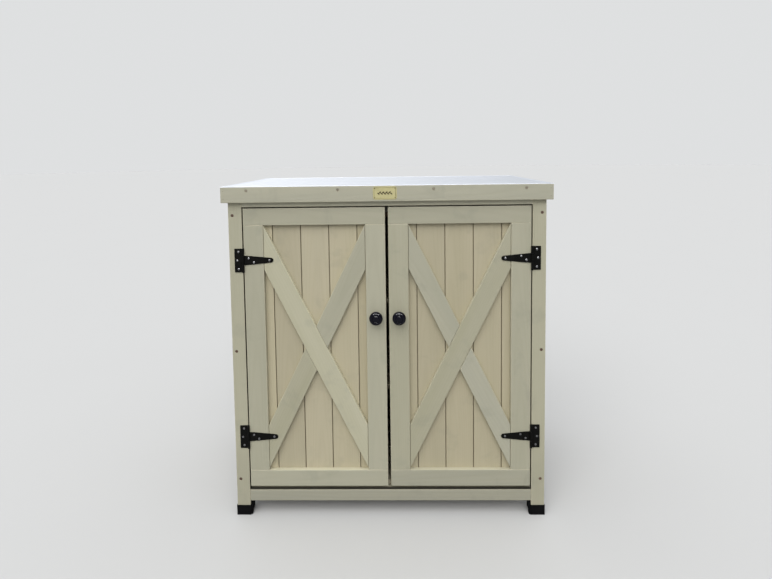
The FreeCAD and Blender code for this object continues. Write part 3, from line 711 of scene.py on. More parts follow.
def gloss_black():
    """The knobs' gloss black, with a clear coat, faint wiping marks and a breath of dust."""
    made, tree, shader = start_material("Gloss black")
    space = put(tree, "ShaderNodeTexCoord").outputs["Object"]
    marks = marks_on(tree, space, 0.0009, 0.012)
    tone = tuple(colours().knob_black)
    hazy = tuple(c * 1.6 + 0.003 for c in tone)
    shown = blended(tree, sums(tree, "MULTIPLY", marks["Smudges"], 0.6), tone, hazy)
    rough = sums(tree, "MULTIPLY_ADD", marks["Smudges"], 0.06, 0.08)
    normal = bump(tree, marks["Specks"], 0.00002, 0.4)
    feed(tree, shader, Base_Color=shown, Roughness=rough, Normal=normal)
    feed(tree, shader, Coat_Weight=0.28, Coat_Roughness=0.05, Specular_IOR_Level=0.08)
    return made


def moulded_plastic(name, tone, roughness):
    """Moulded plastic with a fine grained surface and dust near the ground."""
    made, tree, shader = start_material(name)
    space = put(tree, "ShaderNodeTexCoord").outputs["Object"]
    marks = marks_on(tree, space, 0.0011)
    dust = use_group(tree, "Ground dust", {"Place": space, "Reach": 0.08})["Dust"]
    shown = blended(tree, sums(tree, "MULTIPLY", marks["Smudges"], 0.4), tone, tinted(tone, 1.9))
    shown = blended(tree, sums(tree, "MULTIPLY", dust, 0.006), shown, PLASTIC_DUST)
    rough = sums(tree, "MULTIPLY_ADD", marks["Smudges"], 0.12, roughness)
    normal = bump(tree, marks["Specks"], 0.00012, 0.6)
    feed(tree, shader, Base_Color=shown, Roughness=rough, Normal=normal)
    feed(tree, shader, Specular_IOR_Level=0.05)
    return made


def floor_finish():
    """A plain pale floor with the faintest unevenness, which sends less light back up than it shows."""
    made, tree, shader = start_material("Pale floor")
    space = put(tree, "ShaderNodeTexCoord").outputs["Object"]
    tone = tuple(colours().floor)
    patches = noise(tree, space, 2.0, 3.0)
    shown = blended(tree, spread(tree, patches, 0.3, 0.7, 0.0, 0.3), tone, tinted(tone, 0.985))
    seen = put(tree, "ShaderNodeLightPath").outputs["Is Camera Ray"]
    shown = blended(tree, seen, colours().floor_bounce, shown)
    feed(tree, shader, Base_Color=shown, Roughness=1.0, Specular_IOR_Level=0.0)
    return made


# How strongly the wood shows through the two coats, how wide their bright edges are, and how dull they are
FRAME_COAT = {"rings": 0.10, "fibres": 0.06, "knots": 0.22, "edge_width": 0.0020, "roughness": 0.46}
BOARD_COAT = {"rings": 0.11, "fibres": 0.08, "knots": 0.45, "edge_width": 0.0018, "roughness": 0.52}

# The frame paint carries a painted highlight on faces that look up, and the grooved boards painted shade in
# their gaps
FINISHES = {
    "painted_frame": lambda: painted_wood("Frame paint", colours().frame_paint, FRAME_COAT, painted_top_light=0.9),
    "painted_boards": lambda: painted_wood("Board paint", colours().board_paint, BOARD_COAT),
    "grooved_boards": lambda: painted_wood(
        "Grooved board paint", colours().board_paint, BOARD_COAT, groove_shade=0.55
    ),
    "zinc_sheet": zinc_sheet_finish,
    "black_steel": lambda: coated_steel("Black powder coat", colours().black_steel, 0.38, 0.0007, 0.25),
    "bright_steel": lambda: bare_metal("Plated steel", colours().bright_steel, 0.24),
    "bronzed_steel": bronzed_steel,
    "brass": lambda: bare_metal("Brushed brass", colours().brass, 0.38, 0.45, brushed=True),
    "knob_black": gloss_black,
    "darkened_brass": lambda: bare_metal("Darkened brass", colours().darkened_brass, 0.55, 0.2),
    "foot_plastic": lambda: moulded_plastic("Foot plastic", colours().foot_black, 0.5),
    "catch_plastic": lambda: moulded_plastic("Catch plastic", colours().catch_brown, 0.42),
}
made_finishes = {}


def finish(slot):
    """The material of a slot, made once."""
    make_effects()
    if slot not in made_finishes:
        made_finishes[slot] = FINISHES[slot]()
    return made_finishes[slot]


# Mesh helpers
def each(items):
    """Every item once, in the order in which they first come."""
    return list(dict.fromkeys(items))


def since(bm, before):
    """The vertices that weren't there before."""
    return [v for v in bm.verts if v not in before]


def edges_of(verts):
    """The edges that lie wholly among some vertices."""
    inside = set(verts)
    return [e for e in each(e for v in verts for e in v.link_edges) if all(v in inside for v in e.verts)]


def rounded(bm, edges, ease, segments=3):
    """Rounds edges off, as wide as the ease says."""
    if ease > 0.0 and edges:
        bmesh.ops.bevel(
            bm, geom=edges, offset=ease, offset_type="OFFSET", affect="EDGES", segments=segments,
            profile=0.5, material=-1, clamp_overlap=True,
        )


def sharp_edges(edges, least=EDGE_ANGLE):
    """Those of the edges that turn more than an angle."""
    return [e for e in edges if len(e.link_faces) == 2 and e.calc_face_angle(0.0) > least]


def add_block(bm, low, high):
    """A plain block between two corners. Gives back its vertices."""
    low = Vector(low)
    high = Vector(high)
    verts = bmesh.ops.create_cube(bm, size=1.0)["verts"]
    bmesh.ops.scale(bm, vec=high - low, verts=verts)
    bmesh.ops.translate(bm, vec=(low + high) / 2.0, verts=verts)
    return verts


def add_eased_block(bm, low, high, ease, segments=3):
    """A block with rounded edges. Gives back its vertices."""
    before = set(bm.verts)
    verts = add_block(bm, low, high)
    rounded(bm, edges_of(verts), ease, segments)
    return since(bm, before)


def add_prism(bm, outline, run):
    """A closed flat outline drawn out along a vector. Gives back its vertices."""
    before = set(bm.verts)
    face = bm.faces.new([bm.verts.new(point) for point in outline])
    drawn = bmesh.ops.extrude_face_region(bm, geom=[face])["geom"]
    bmesh.ops.translate(bm, vec=run, verts=[v for v in drawn if isinstance(v, bmesh.types.BMVert)])
    return since(bm, before)


def add_turned(bm, profile, centre, axis, steps):
    """A turned piece from (radius, along) points. It lies along the axis from the centre."""
    before = set(bm.verts)
    axis = Vector(axis).normalized()
    aside = axis.orthogonal().normalized()
    verts = [bm.verts.new(Vector(centre) + aside * radius + axis * along) for radius, along in profile]
    edges = [bm.edges.new(pair) for pair in zip(verts, verts[1:])]
    bmesh.ops.spin(
        bm, geom=verts + edges, cent=centre, axis=axis, dvec=(0, 0, 0), angle=WHOLE_TURN,
        steps=steps, use_merge=True, use_duplicate=False,
    )
    made = since(bm, before)
    bmesh.ops.remove_doubles(bm, verts=made, dist=MERGE)
    return since(bm, before)


def cut_away(bm, point, normal):
    """Takes off what lies beyond a plane, and closes the cut."""
    geom = bm.verts[:] + bm.edges[:] + bm.faces[:]
    cut = bmesh.ops.bisect_plane(bm, geom=geom, plane_co=point, plane_no=normal, clear_outer=True, dist=MERGE)
    rim = [e for e in cut["geom_cut"] if isinstance(e, bmesh.types.BMEdge)]
    if rim:
        bmesh.ops.holes_fill(bm, edges=rim, sides=0)


def arc(centre, radius, start, end, steps):
    """Points (a, b) on an arc round a centre, angles in radians."""
    points = []
    for step in range(steps + 1):
        angle = start + (end - start) * step / steps
        points.append((centre[0] + radius * math.cos(angle), centre[1] + radius * math.sin(angle)))
    return points


def subtracted(bm, tool):
    """A new mesh: the first shape with the second taken out of it. The second is used up."""
    objects = []
    for source in (bm, tool):
        mesh = bpy.data.meshes.new("blank")
        source.to_mesh(mesh)
        item = bpy.data.objects.new("blank", mesh)
        bpy.context.scene.collection.objects.link(item)
        objects.append(item)
    tool.free()
    body, cutter = objects
    cut = body.modifiers.new("Cut", "BOOLEAN")
    cut.operation = "DIFFERENCE"
    cut.solver = "EXACT"
    cut.use_self = True
    cut.object = cutter
    shape = bpy.data.meshes.new_from_object(body.evaluated_get(bpy.context.evaluated_depsgraph_get()))
    for item in objects:
        mesh = item.data
        bpy.data.objects.remove(item)
        bpy.data.meshes.remove(mesh)
    return shape


def solid_boxes(node):
    """Corners of each separate solid in a node of the frame, ordered by height, depth and side."""
    bm = bmesh.new()
    bm.from_mesh(frame["nodes"][node].data)
    bmesh.ops.remove_doubles(bm, verts=bm.verts, dist=MERGE)
    boxes = []
    left = set(bm.verts)
    while left:
        front = [left.pop()]
        places = []
        while front:
            v = front.pop()
            places.append(v.co.copy())
            for edge in v.link_edges:
                other = edge.other_vert(v)
                if other in left:
                    left.remove(other)
                    front.append(other)
        low = Vector([min(p[i] for p in places) for i in range(3)])
        high = Vector([max(p[i] for p in places) for i in range(3)])
        boxes.append((low, high))
    bm.free()
    return sorted(boxes, key=lambda b: (round(b[0].z, 4), round(b[0].y, 4), round(b[0].x, 4)))


def make_piece(name, bm, replaced, slot, body=None, paint=None):
    """Makes the object, and puts it on its body and in the place of its nodes.
    It has the slot's own finish, unless a paint names another one.
    """
    bmesh.ops.recalc_face_normals(bm, faces=bm.faces)
    for face in bm.faces:
        face.smooth = True
    for edge in bm.edges:
        if len(edge.link_faces) == 2:
            edge.smooth = edge.calc_face_angle(0.0) < CRISP_ANGLE
    mesh = bpy.data.meshes.new(name)
    bm.to_mesh(mesh)
    bm.free()
    mesh.materials.append(finish(paint or slot))
    piece = bpy.data.objects.new(name, mesh)
    bpy.context.scene.collection.objects.link(piece)
    even = piece.modifiers.new("Even shading", "WEIGHTED_NORMAL")
    even.keep_sharp = True
    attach(piece, body or BODY_OF[replaced[0]])
    if replaced:
        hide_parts(*replaced)


class Timber:
    """A mesh of one or more boards. Each board's directions, half sizes, paint and lightness (partly painted
    light and shade) go with its points.
    """

    def __init__(self, seed):
        self.bm = bmesh.new()
        layers = self.bm.verts.layers
        for name in ("grain", "half"):
            layers.float_vector.new(name)
        for name in ("board", "shade"):
            layers.float.new(name)
        self.seed = seed
        self.marked = 0
        self.chance = random.Random(seed)

    def mark(self, verts, centre, along, across, half):
        """Notes for the points of one board where they lie in it, with the depth as the third direction."""
        turn = Matrix((along, across, along.cross(across))).to_4x4()
        self.to_grain = turn @ Matrix.Translation(-centre)
        self.last_half = half
        number = self.chance.random()
        self.last_paint_and_shade = PAINT_AND_SHADE_OF.get(self.seed, (number, self.chance.uniform(0.95, 1.04)))
        if isinstance(self.last_paint_and_shade[0], tuple):
            self.last_paint_and_shade = self.last_paint_and_shade[self.marked]
        self.marked += 1
        self.note(verts)

    def note(self, verts):
        """Gives some points the values of the board that was marked last."""
        layers = self.bm.verts.layers
        grain, half = layers.float_vector["grain"], layers.float_vector["half"]
        board, shade = layers.float["board"], layers.float["shade"]
        for v in verts:
            v[grain] = self.to_grain @ v.co
            v[half] = self.last_half
            v[board], v[shade] = self.last_paint_and_shade

    def add_board(self, low, high, ease):
        """A sawn board along its longest side, with its thinnest side as its depth."""
        verts = add_eased_block(self.bm, low, high, ease)
        size = high - low
        order = sorted(range(3), key=lambda i: (-size[i], i))
        axes = [(X_AXIS, Y_AXIS, Z_AXIS)[i] for i in order]
        half = [size[i] / 2.0 for i in order]
        self.mark(verts, (low + high) / 2.0, axes[0], axes[1], half)

    def sink(self, places):
        """Cuts a blind countersunk hole at each place. The points of the holes take after their board."""
        if not places:
            return
        sizes = hardware()
        wide = sizes.frame_head + sizes.hole_rim
        deep = sizes.frame_head_depth + sizes.head_sink + sizes.hole_rim
        narrow = sizes.frame_shank + sizes.hole_rim
        profile = [(0.0, -wide), (wide, -wide), (wide, sizes.head_sink), (narrow, deep), (0.0, deep)]
        tool = bmesh.new()
        for place, way in places:
            add_turned(tool, profile, place, way, 24)
        bmesh.ops.recalc_face_normals(tool, faces=tool.faces)
        shape = subtracted(self.bm, tool)
        self.bm.clear()
        self.bm.from_mesh(shape)
        bpy.data.meshes.remove(shape)
        self.note(self.bm.verts)

    def replace(self, node, slot, paint=None):
        """Makes the boards one piece in the place of their node."""
        make_piece(node + "_timber", self.bm, [node], slot, paint=paint)


def dress_boxes(node, slot, ease):
    """Replaces a node whose solids are plain boards by eased ones."""
    made = Timber(node)
    for low, high in solid_boxes(node):
        made.add_board(low, high, ease)
    made.replace(node, slot)


def dress_box(node, slot, ease):
    """Replaces a node of one board by an eased board, with its sunk screw holes where screws go into it."""
    made = Timber(node)
    low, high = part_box(node)
    made.add_board(low, high, ease)
    made.sink(sunk_places(low, high))
    made.replace(node, slot)


def sunk_places(low, high):
    """Middle of each frame screw's head in the front or the back face of a board, and the way it drives."""
    reach = 0.001
    found = []
    for screw_low, screw_high in solid_boxes("frame_screws"):
        middle = (screw_low + screw_high) / 2.0
        if low.x < middle.x < high.x and low.z < middle.z < high.z:
            if abs(screw_low.y - low.y) < reach:
                found.append((Vector((middle.x, low.y, middle.z)), Y_AXIS))
            if abs(screw_high.y - high.y) < reach:
                found.append((Vector((middle.x, high.y, middle.z)), -Y_AXIS))
    return found


def board_section(number, count, pitch, thickness):
    """The section of one tongue-and-groove board, as (across, depth) points from its visible face."""
    t = timber()
    left = number * pitch
    right = left + pitch
    first = number == 0
    last = number == count - 1
    face_left = left if first else left + t.face_gap / 2.0
    face_right = right if last else right - t.face_gap / 2.0
    tongue_front = t.tongue_from_face
    tongue_back = t.tongue_from_face + t.tongue_thickness
    points = [(face_left, 0.0), (face_right, 0.0)]
    if not last:
        points += [(face_right, t.gap_depth), (right, t.gap_depth), (right, tongue_front)]
        points += [(right + t.tongue_length, tongue_front), (right + t.tongue_length, tongue_back)]
        points += [(right, tongue_back)]
    points += [(right, thickness), (left, thickness)]
    if not first:
        groove_end = left + t.tongue_length + t.tongue_clearance
        points += [(left, tongue_back + t.tongue_clearance), (groove_end, tongue_back + t.tongue_clearance)]
        points += [(groove_end, tongue_front - t.tongue_clearance), (left, tongue_front - t.tongue_clearance)]
        points += [(left, t.gap_depth), (face_left, t.gap_depth)]
    return points


def dress_upright_boards(node, count, corner, across, inward, span, thickness):
    """Replaces a row of upright tongue-and-groove boards. The corner is at the foot of the visible face."""
    made = Timber(node)
    low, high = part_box(node)
    pitch = span / count
    for number in range(count):
        before = set(made.bm.verts)
        section = board_section(number, count, pitch, thickness)
        outline = [corner + across * a + inward * d for a, d in section]
        add_prism(made.bm, outline, Z_AXIS * (high.z - low.z))
        fresh = since(made.bm, before)
        bmesh.ops.recalc_face_normals(made.bm, faces=each(f for v in fresh for f in v.link_faces))
        near_face = [v for v in fresh if abs((v.co - corner).dot(inward)) < MERGE]
        rounded(made.bm, sharp_edges(edges_of(near_face)), timber().arris, 2)
        fresh = since(made.bm, before)
        far_face = [v for v in fresh if abs((v.co - corner).dot(inward) - thickness) < MERGE]
        rounded(made.bm, sharp_edges(edges_of(far_face)), timber().arris / 2.0, 1)
        fresh = since(made.bm, before)
        centre = corner + across * ((number + 0.5) * pitch) + inward * (thickness / 2.0)
        centre.z = (low.z + high.z) / 2.0
        half = ((high.z - low.z) / 2.0, pitch / 2.0 - timber().face_gap / 2.0, thickness / 2.0)
        made.mark(fresh, centre, Z_AXIS, across, half)
    made.replace(node, "painted_boards", "grooved_boards")


# The cabinet's pieces
class CABINET_OT_case_frame(bpy.types.Operator):
    """Posts, rails and the strip that the doors close against"""

    bl_idname = "cabinet.case_frame"
    bl_label = "Posts and rails"

    def execute(self, context):
        for place in ("front_left", "front_right", "rear_left", "rear_right"):
            dress_box("post_" + place, "painted_frame", timber().ease)
        for node in ("front_header_rail", "front_bottom_rail"):
            dress_box(node, "painted_frame", timber().ease)
        dress_box("door_stop_strip", "painted_frame", timber().small_ease)
        for node in ("left_wall_rails", "right_wall_rails", "back_wall_rails"):
            dress_boxes(node, "painted_frame", timber().ease)
        return {"FINISHED"}


class CABINET_OT_wall_boards(bpy.types.Operator):
    """Upright tongue-and-groove boards of the side and back walls"""

    bl_idname = "cabinet.wall_boards"
    bl_label = "Wall boards"

    def execute(self, context):
        for side, sign in SIDES.items():
            node = side + "_wall_boards"
            low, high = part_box(node)
            face = low.x if sign < 0 else high.x
            corner = Vector((face, low.y, low.z))
            size = high - low
            dress_upright_boards(node, BOARDS_PER_SIDE, corner, Y_AXIS, X_AXIS * -sign, size.y, size.x)
        node = "back_wall_boards"
        low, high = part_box(node)
        corner = Vector((low.x, high.y, low.z))
        size = high - low
        dress_upright_boards(node, BOARDS_PER_BACK, corner, X_AXIS, -Y_AXIS, size.x, size.y)
        return {"FINISHED"}


class CABINET_OT_decks(bpy.types.Operator):
    """Floor, shelves and the cleats that carry them"""

    bl_idname = "cabinet.decks"
    bl_label = "Floor and shelves"

    def execute(self, context):
        for node in ("floor_boards", "lower_shelf", "upper_shelf", "deck_cleats"):
            dress_boxes(node, "painted_boards", timber().small_ease)
        return {"FINISHED"}


class CABINET_OT_top(bpy.types.Operator):
    """The panel under the top and the hemmed metal sheet over it"""

    bl_idname = "cabinet.top"
    bl_label = "Top"

    def execute(self, context):
        dress_box("top_panel", "painted_boards", timber().small_ease)
        low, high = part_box("top_sheet")
        sizes = hardware()
        bm = bmesh.new()
        add_block(bm, low, high)
        upper = max(bm.faces, key=lambda f: f.calc_center_median().z)
        outer = list(upper.edges)
        bmesh.ops.inset_individual(bm, faces=[upper], thickness=sizes.sheet_hem)
        bmesh.ops.inset_individual(bm, faces=[upper], thickness=sizes.hem_rise)
        bmesh.ops.translate(bm, vec=-Z_AXIS * sizes.hem_rise, verts=list(upper.verts))
        rounded(bm, outer, (high.z - low.z) * 0.45)
        make_piece("top_sheet_hemmed", bm, ["top_sheet"], "zinc_sheet")
        return {"FINISHED"}


class CABINET_OT_fascia(bpy.types.Operator):
    """Fascia boards round the top, with the nails at the ends of the front one"""

    bl_idname = "cabinet.fascia"
    bl_label = "Fascia"

    def execute(self, context):
        for place in ("front", "rear", "left", "right"):
            dress_box("fascia_" + place, "painted_frame", timber().small_ease)
        low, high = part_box("fascia_front")
        sizes = hardware()
        inset = (high.y - low.y) / 2.0
        drop = (high.z - low.z) / 4.0
        bm = bmesh.new()
        head = sizes.nail_head

        # A nail from its flat head to its tip
        profile = [(0.0, 0.0), (head * 0.7, 0.0), (head, head * 0.15), (head * 0.5, head * 0.8)]
        profile += [(head * 0.5, inset), (0.0, inset + head)]
        for x in (low.x + inset, high.x - inset):
            for z in (low.z + drop, high.z - drop):
                add_turned(bm, profile, Vector((x, low.y - head * 0.1, z)), Y_AXIS, 16)
        make_piece("fascia_end_nails", bm, [], "bronzed_steel", body="case")
        return {"FINISHED"}


class CABINET_OT_door_frames(bpy.types.Operator):
    """Stiles and rails planted on the doors"""

    bl_idname = "cabinet.door_frames"
    bl_label = "Door frames"

    def execute(self, context):
        for side in SIDES:
            for part in ("top_rail", "bottom_rail", "hinge_stile", "meeting_stile"):
                dress_box(side + "_door_" + part, "painted_frame", timber().ease)
        return {"FINISHED"}


def add_brace(made, low, high, fall):
    """A brace corner to corner between two upright lines, which falls towards +X where fall is 1.
    Gives back its middle, its direction and the direction of its upper side.
    """
    width = timber().brace_width
    span = high.x - low.x
    rise = high.z - low.z
    slope = math.acos(width / math.hypot(rise, span)) - math.atan2(span, rise)
    along = Vector((fall * math.cos(slope), 0.0, -math.sin(slope)))
    across = Vector((math.sin(slope), 0.0, fall * math.cos(slope))) * fall
    centre = (low + high) / 2.0
    reach = math.hypot(span, rise)
    blank = Vector((reach, high.y - low.y, width))
    verts = bmesh.ops.create_cube(made.bm, size=1.0)["verts"]
    bmesh.ops.scale(made.bm, vec=blank, verts=verts)
    turn = Matrix((along, across.cross(along), across)).transposed().to_4x4()
    bmesh.ops.transform(made.bm, matrix=Matrix.Translation(centre) @ turn, verts=verts)
    cut_away(made.bm, Vector((low.x, 0, 0)), -X_AXIS)
    cut_away(made.bm, Vector((high.x, 0, 0)), X_AXIS)
    return centre, along, across


class CABINET_OT_braces(bpy.types.Operator):
    """The long brace of each door, and the short ones cut to meet it"""

    bl_idname = "cabinet.braces"
    bl_label = "Door braces"

    def execute(self, context):
        width = timber().brace_width
        gap = timber().brace_gap
        for side, sign in SIDES.items():
            node = side + "_door_long_brace"
            low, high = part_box(node)
            made = Timber(node)
            centre, along, across = add_brace(made, low, high, -sign)

            # Twice as long as half the brace, so that its cut ends don't count as edges
            half = ((high - low).length, width / 2.0, (high.y - low.y) / 2.0)
            rounded(made.bm, sharp_edges(made.bm.edges), timber().brace_ease, 4)
            made.mark(made.bm.verts, centre, along, across, half)
            made.replace(node, "painted_frame")

            node = side + "_door_short_braces"
            short = Timber(node)
            for half_sign in (1.0, -1.0):
                part = Timber(node)
                middle, short_along, short_across = add_brace(part, low, high, sign)
                edge = across * half_sign
                cut_away(part.bm, centre + edge * (width / 2.0 + gap), -edge)
                rounded(part.bm, sharp_edges(part.bm.edges), timber().brace_ease, 4)
                mesh = bpy.data.meshes.new("brace half")
                part.bm.to_mesh(mesh)
                part.bm.free()
                before = set(short.bm.verts)
                short.bm.from_mesh(mesh)
                bpy.data.meshes.remove(mesh)
                short.mark(since(short.bm, before), middle, short_along, short_across, half)
            short.replace(node, "painted_frame")
        return {"FINISHED"}


class CABINET_OT_door_boards(bpy.types.Operator):
    """Upright tongue-and-groove boards behind the door frames"""

    bl_idname = "cabinet.door_boards"
    bl_label = "Door boards"

    def execute(self, context):
        for side in SIDES:
            node = side + "_door_boards"
            low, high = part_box(node)
            size = high - low
            dress_upright_boards(node, BOARDS_PER_DOOR, low, X_AXIS, Y_AXIS, size.x, size.y)
        return {"FINISHED"}


def pin_boxes():
    """Box of each hinge pin, by side and level. The lower ones come first."""
    found = {}
    for low, high in solid_boxes("hinge_pins"):
        side = "left" if low.x < 0 else "right"
        level = "lower" if (side, "lower") not in found else "upper"
        found[side, level] = (low, high)
    return found


def add_knuckle(bm, axis, foot, head):
    """A rolled hinge knuckle round the pin, between two heights."""
    ease = hardware().plate_ease
    wide = hardware().barrel
    tall = head - foot
    profile = [(0.0, 0.0), (wide - ease, 0.0), (wide, ease)]
    profile += [(wide, tall - ease), (wide - ease, tall), (0.0, tall)]
    add_turned(bm, profile, Vector((axis.x, axis.y, foot)), Z_AXIS, 32)


class CABINET_OT_hinges(bpy.types.Operator):
    """The T-hinges: leaves on the posts, straps on the doors, and their pins"""

    bl_idname = "cabinet.hinges"
    bl_label = "T-hinges"

    def execute(self, context):
        pins = pin_boxes()
        for (side, level), (low, high) in pins.items():
            axis = (low + high) / 2.0
            self.leaf(side, level, axis)
            self.strap(side, level, axis)
        self.pins(pins.values())
        return {"FINISHED"}

    def leaf(self, side, level, axis):
        """The leaf's plate with its two outer knuckles."""
        sizes = hardware()
        node = "hinge_leaf_" + level + "_" + side
        low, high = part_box(node)
        sign = SIDES[side]
        outer = low.x if sign < 0 else high.x
        inner = axis.x + sign * (sizes.barrel + sizes.knuckle_gap)
        seat = high.y
        bm = bmesh.new()
        corner_low = Vector((min(outer, inner), seat - sizes.plate, low.z))
        corner_high = Vector((max(outer, inner), seat, high.z))
        verts = add_block(bm, corner_low, corner_high)
        corners = [e for e in edges_of(verts) if all(abs(v.co.x - outer) < MERGE for v in e.verts)]
        corners = [e for e in corners if abs(e.verts[0].co.z - e.verts[1].co.z) < MERGE]
        rounded(bm, corners, sizes.leaf_corner, 5)
        rounded(bm, sharp_edges(bm.edges, CRISP_ANGLE), sizes.plate_ease, 2)
        strap_half = sizes.strap_root / 2.0
        web = sorted((inner, axis.x))
        for foot, head in ((axis.z + strap_half, high.z), (low.z, axis.z - strap_half)):
            add_block(bm, (web[0], seat - sizes.plate, foot), (web[1], seat, head))
            add_knuckle(bm, axis, foot, head)
        make_piece(node + "_formed", bm, [node], "black_steel")

    def strap(self, side, level, axis):
        """The tapering strap with its rounded tip and the middle knuckle."""
        sizes = hardware()
        node = side + "_door_hinge_strap_" + level
        low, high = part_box(node)
        sign = SIDES[side]
        seat = high.y
        root = sizes.strap_root / 2.0
        tip = sizes.strap_tip / 2.0
        far = high.x if sign < 0 else low.x
        start = axis.x - sign * (sizes.barrel + sizes.knuckle_gap)
        reach = abs(far - start) - tip
        shoulder = sizes.strap_shoulder / 2.0
        shoulder_at = sizes.shoulder_reach - sizes.barrel - sizes.knuckle_gap
        lean = math.atan((shoulder - tip) / (reach - shoulder_at))
        points = [(0.0, -root), (shoulder_at, -shoulder)]
        points += arc((reach, 0.0), tip / math.cos(lean), lean - QUARTER_TURN, QUARTER_TURN - lean, 14)
        points += [(shoulder_at, shoulder), (0.0, root)]
        outline = [Vector((start - sign * a, seat - sizes.plate, axis.z + b)) for a, b in points]
        bm = bmesh.new()
        add_prism(bm, outline, Y_AXIS * sizes.plate)
        bmesh.ops.recalc_face_normals(bm, faces=bm.faces)
        rounded(bm, sharp_edges(bm.edges, CRISP_ANGLE), sizes.plate_ease, 2)
        half = root - sizes.knuckle_gap
        web = sorted((start, axis.x))
        add_block(bm, (web[0], seat - sizes.plate, axis.z - half), (web[1], seat, axis.z + half))
        add_knuckle(bm, axis, axis.z - half, axis.z + half)
        make_piece(node + "_formed", bm, [node], "black_steel")

    def pins(self, boxes):
        """The pins with their rounded heads above and below the knuckles."""
        bm = bmesh.new()
        for low, high in boxes:
            middle = (low + high) / 2.0
            head = (high.x - low.x) / 2.0
            shank = head * 0.6
            thick = head * 0.46
            tall = high.z - low.z
            profile = [(0.0, 0.0), (head * 0.7, thick * 0.15), (head, thick * 0.6), (head, thick)]
            profile.append((shank, thick))
            profile += [(r, tall - z) for r, z in reversed(profile)]
            add_turned(bm, profile, Vector((middle.x, middle.y, low.z)), Z_AXIS, 24)
        make_piece("hinge_pins_headed", bm, ["hinge_pins"], "black_steel")


def screw_mesh(profile, cross_reach, cross_width, cross_depth):
    """A screw along +Y with the top of its head at the origin and a cross sunk into it."""
    bm = bmesh.new()
    add_turned(bm, profile, Vector((0, 0, 0)), Y_AXIS, 28)
    bmesh.ops.recalc_face_normals(bm, faces=bm.faces)
    cross = bmesh.new()
    for turn in (0.0, QUARTER_TURN):
        low = (-cross_reach, -cross_depth, -cross_width / 2.0)
        verts = add_block(cross, low, [-value for value in low])
        bmesh.ops.rotate(cross, cent=(0, 0, 0), matrix=Matrix.Rotation(turn, 3, "Y"), verts=verts)
    shape = subtracted(bm, cross)
    bm.free()
    return shape


def place_screws(node, shape, slot):
    """Puts a screw in the place of each solid of a node. Those in the rear half are driven from the back."""
    bm = bmesh.new()
    chance = random.Random(node)
    for low, high in solid_boxes(node):
        before = set(bm.verts)
        bm.from_mesh(shape)
        verts = since(bm, before)
        middle = (low + high) / 2.0
        turn = Matrix.Rotation(chance.uniform(0.0, WHOLE_TURN), 4, "Y")
        place = Vector((middle.x, low.y, middle.z))
        if middle.y > 0.0:
            turn = Matrix.Rotation(WHOLE_TURN / 2.0, 4, "Z") @ turn
            place.y = high.y
        bmesh.ops.transform(bm, matrix=Matrix.Translation(place) @ turn, verts=verts)
    make_piece(node + "_driven", bm, [node], slot)


class CABINET_OT_screws(bpy.types.Operator):
    """Cross-head screws in the hinges, and sunk ones in the posts and the fascia"""

    bl_idname = "cabinet.screws"
    bl_label = "Screws"

    def execute(self, context):
        self.hinge_screws()
        self.frame_screws()
        return {"FINISHED"}

    def hinge_screws(self):
        """Domed screws through the leaves and the straps."""
        sizes = hardware()
        low, high = solid_boxes("leaf_screws")[0]
        tip = high.y - low.y
        head = sizes.screw_head
        tall = sizes.head_height
        dome = [(head * math.sin(a), tall * 0.6 * (1.0 - math.cos(a))) for a in (0.0, 0.4, 0.75, 1.1, 1.4)]
        profile = dome + [(head, tall * 0.62), (head, tall), (sizes.screw_shank, tall)]
        profile += [(sizes.screw_shank, tip - sizes.screw_shank), (0.0, tip)]
        shape = screw_mesh(profile, head * 0.62, head * 0.2, tall * 0.75)
        for node in ("leaf_screws", "left_door_strap_screws", "right_door_strap_screws"):
            place_screws(node, shape, "bright_steel")

    def frame_screws(self):
        """Countersunk screws in the posts and the fascia."""
        sizes = hardware()
        head = sizes.frame_head
        top = sizes.head_sink
        profile = [(0.0, top), (head * 0.86, top), (head, top + head * 0.06)]
        profile += [(sizes.frame_shank, top + sizes.frame_head_depth)]
        tip = min(high.y - low.y for low, high in solid_boxes("frame_screws"))
        profile += [(sizes.frame_shank, tip - sizes.frame_shank), (0.0, tip)]
        shape = screw_mesh(profile, head * 0.55, head * 0.2, top + head * 0.3)
        place_screws("frame_screws", shape, "bronzed_steel")


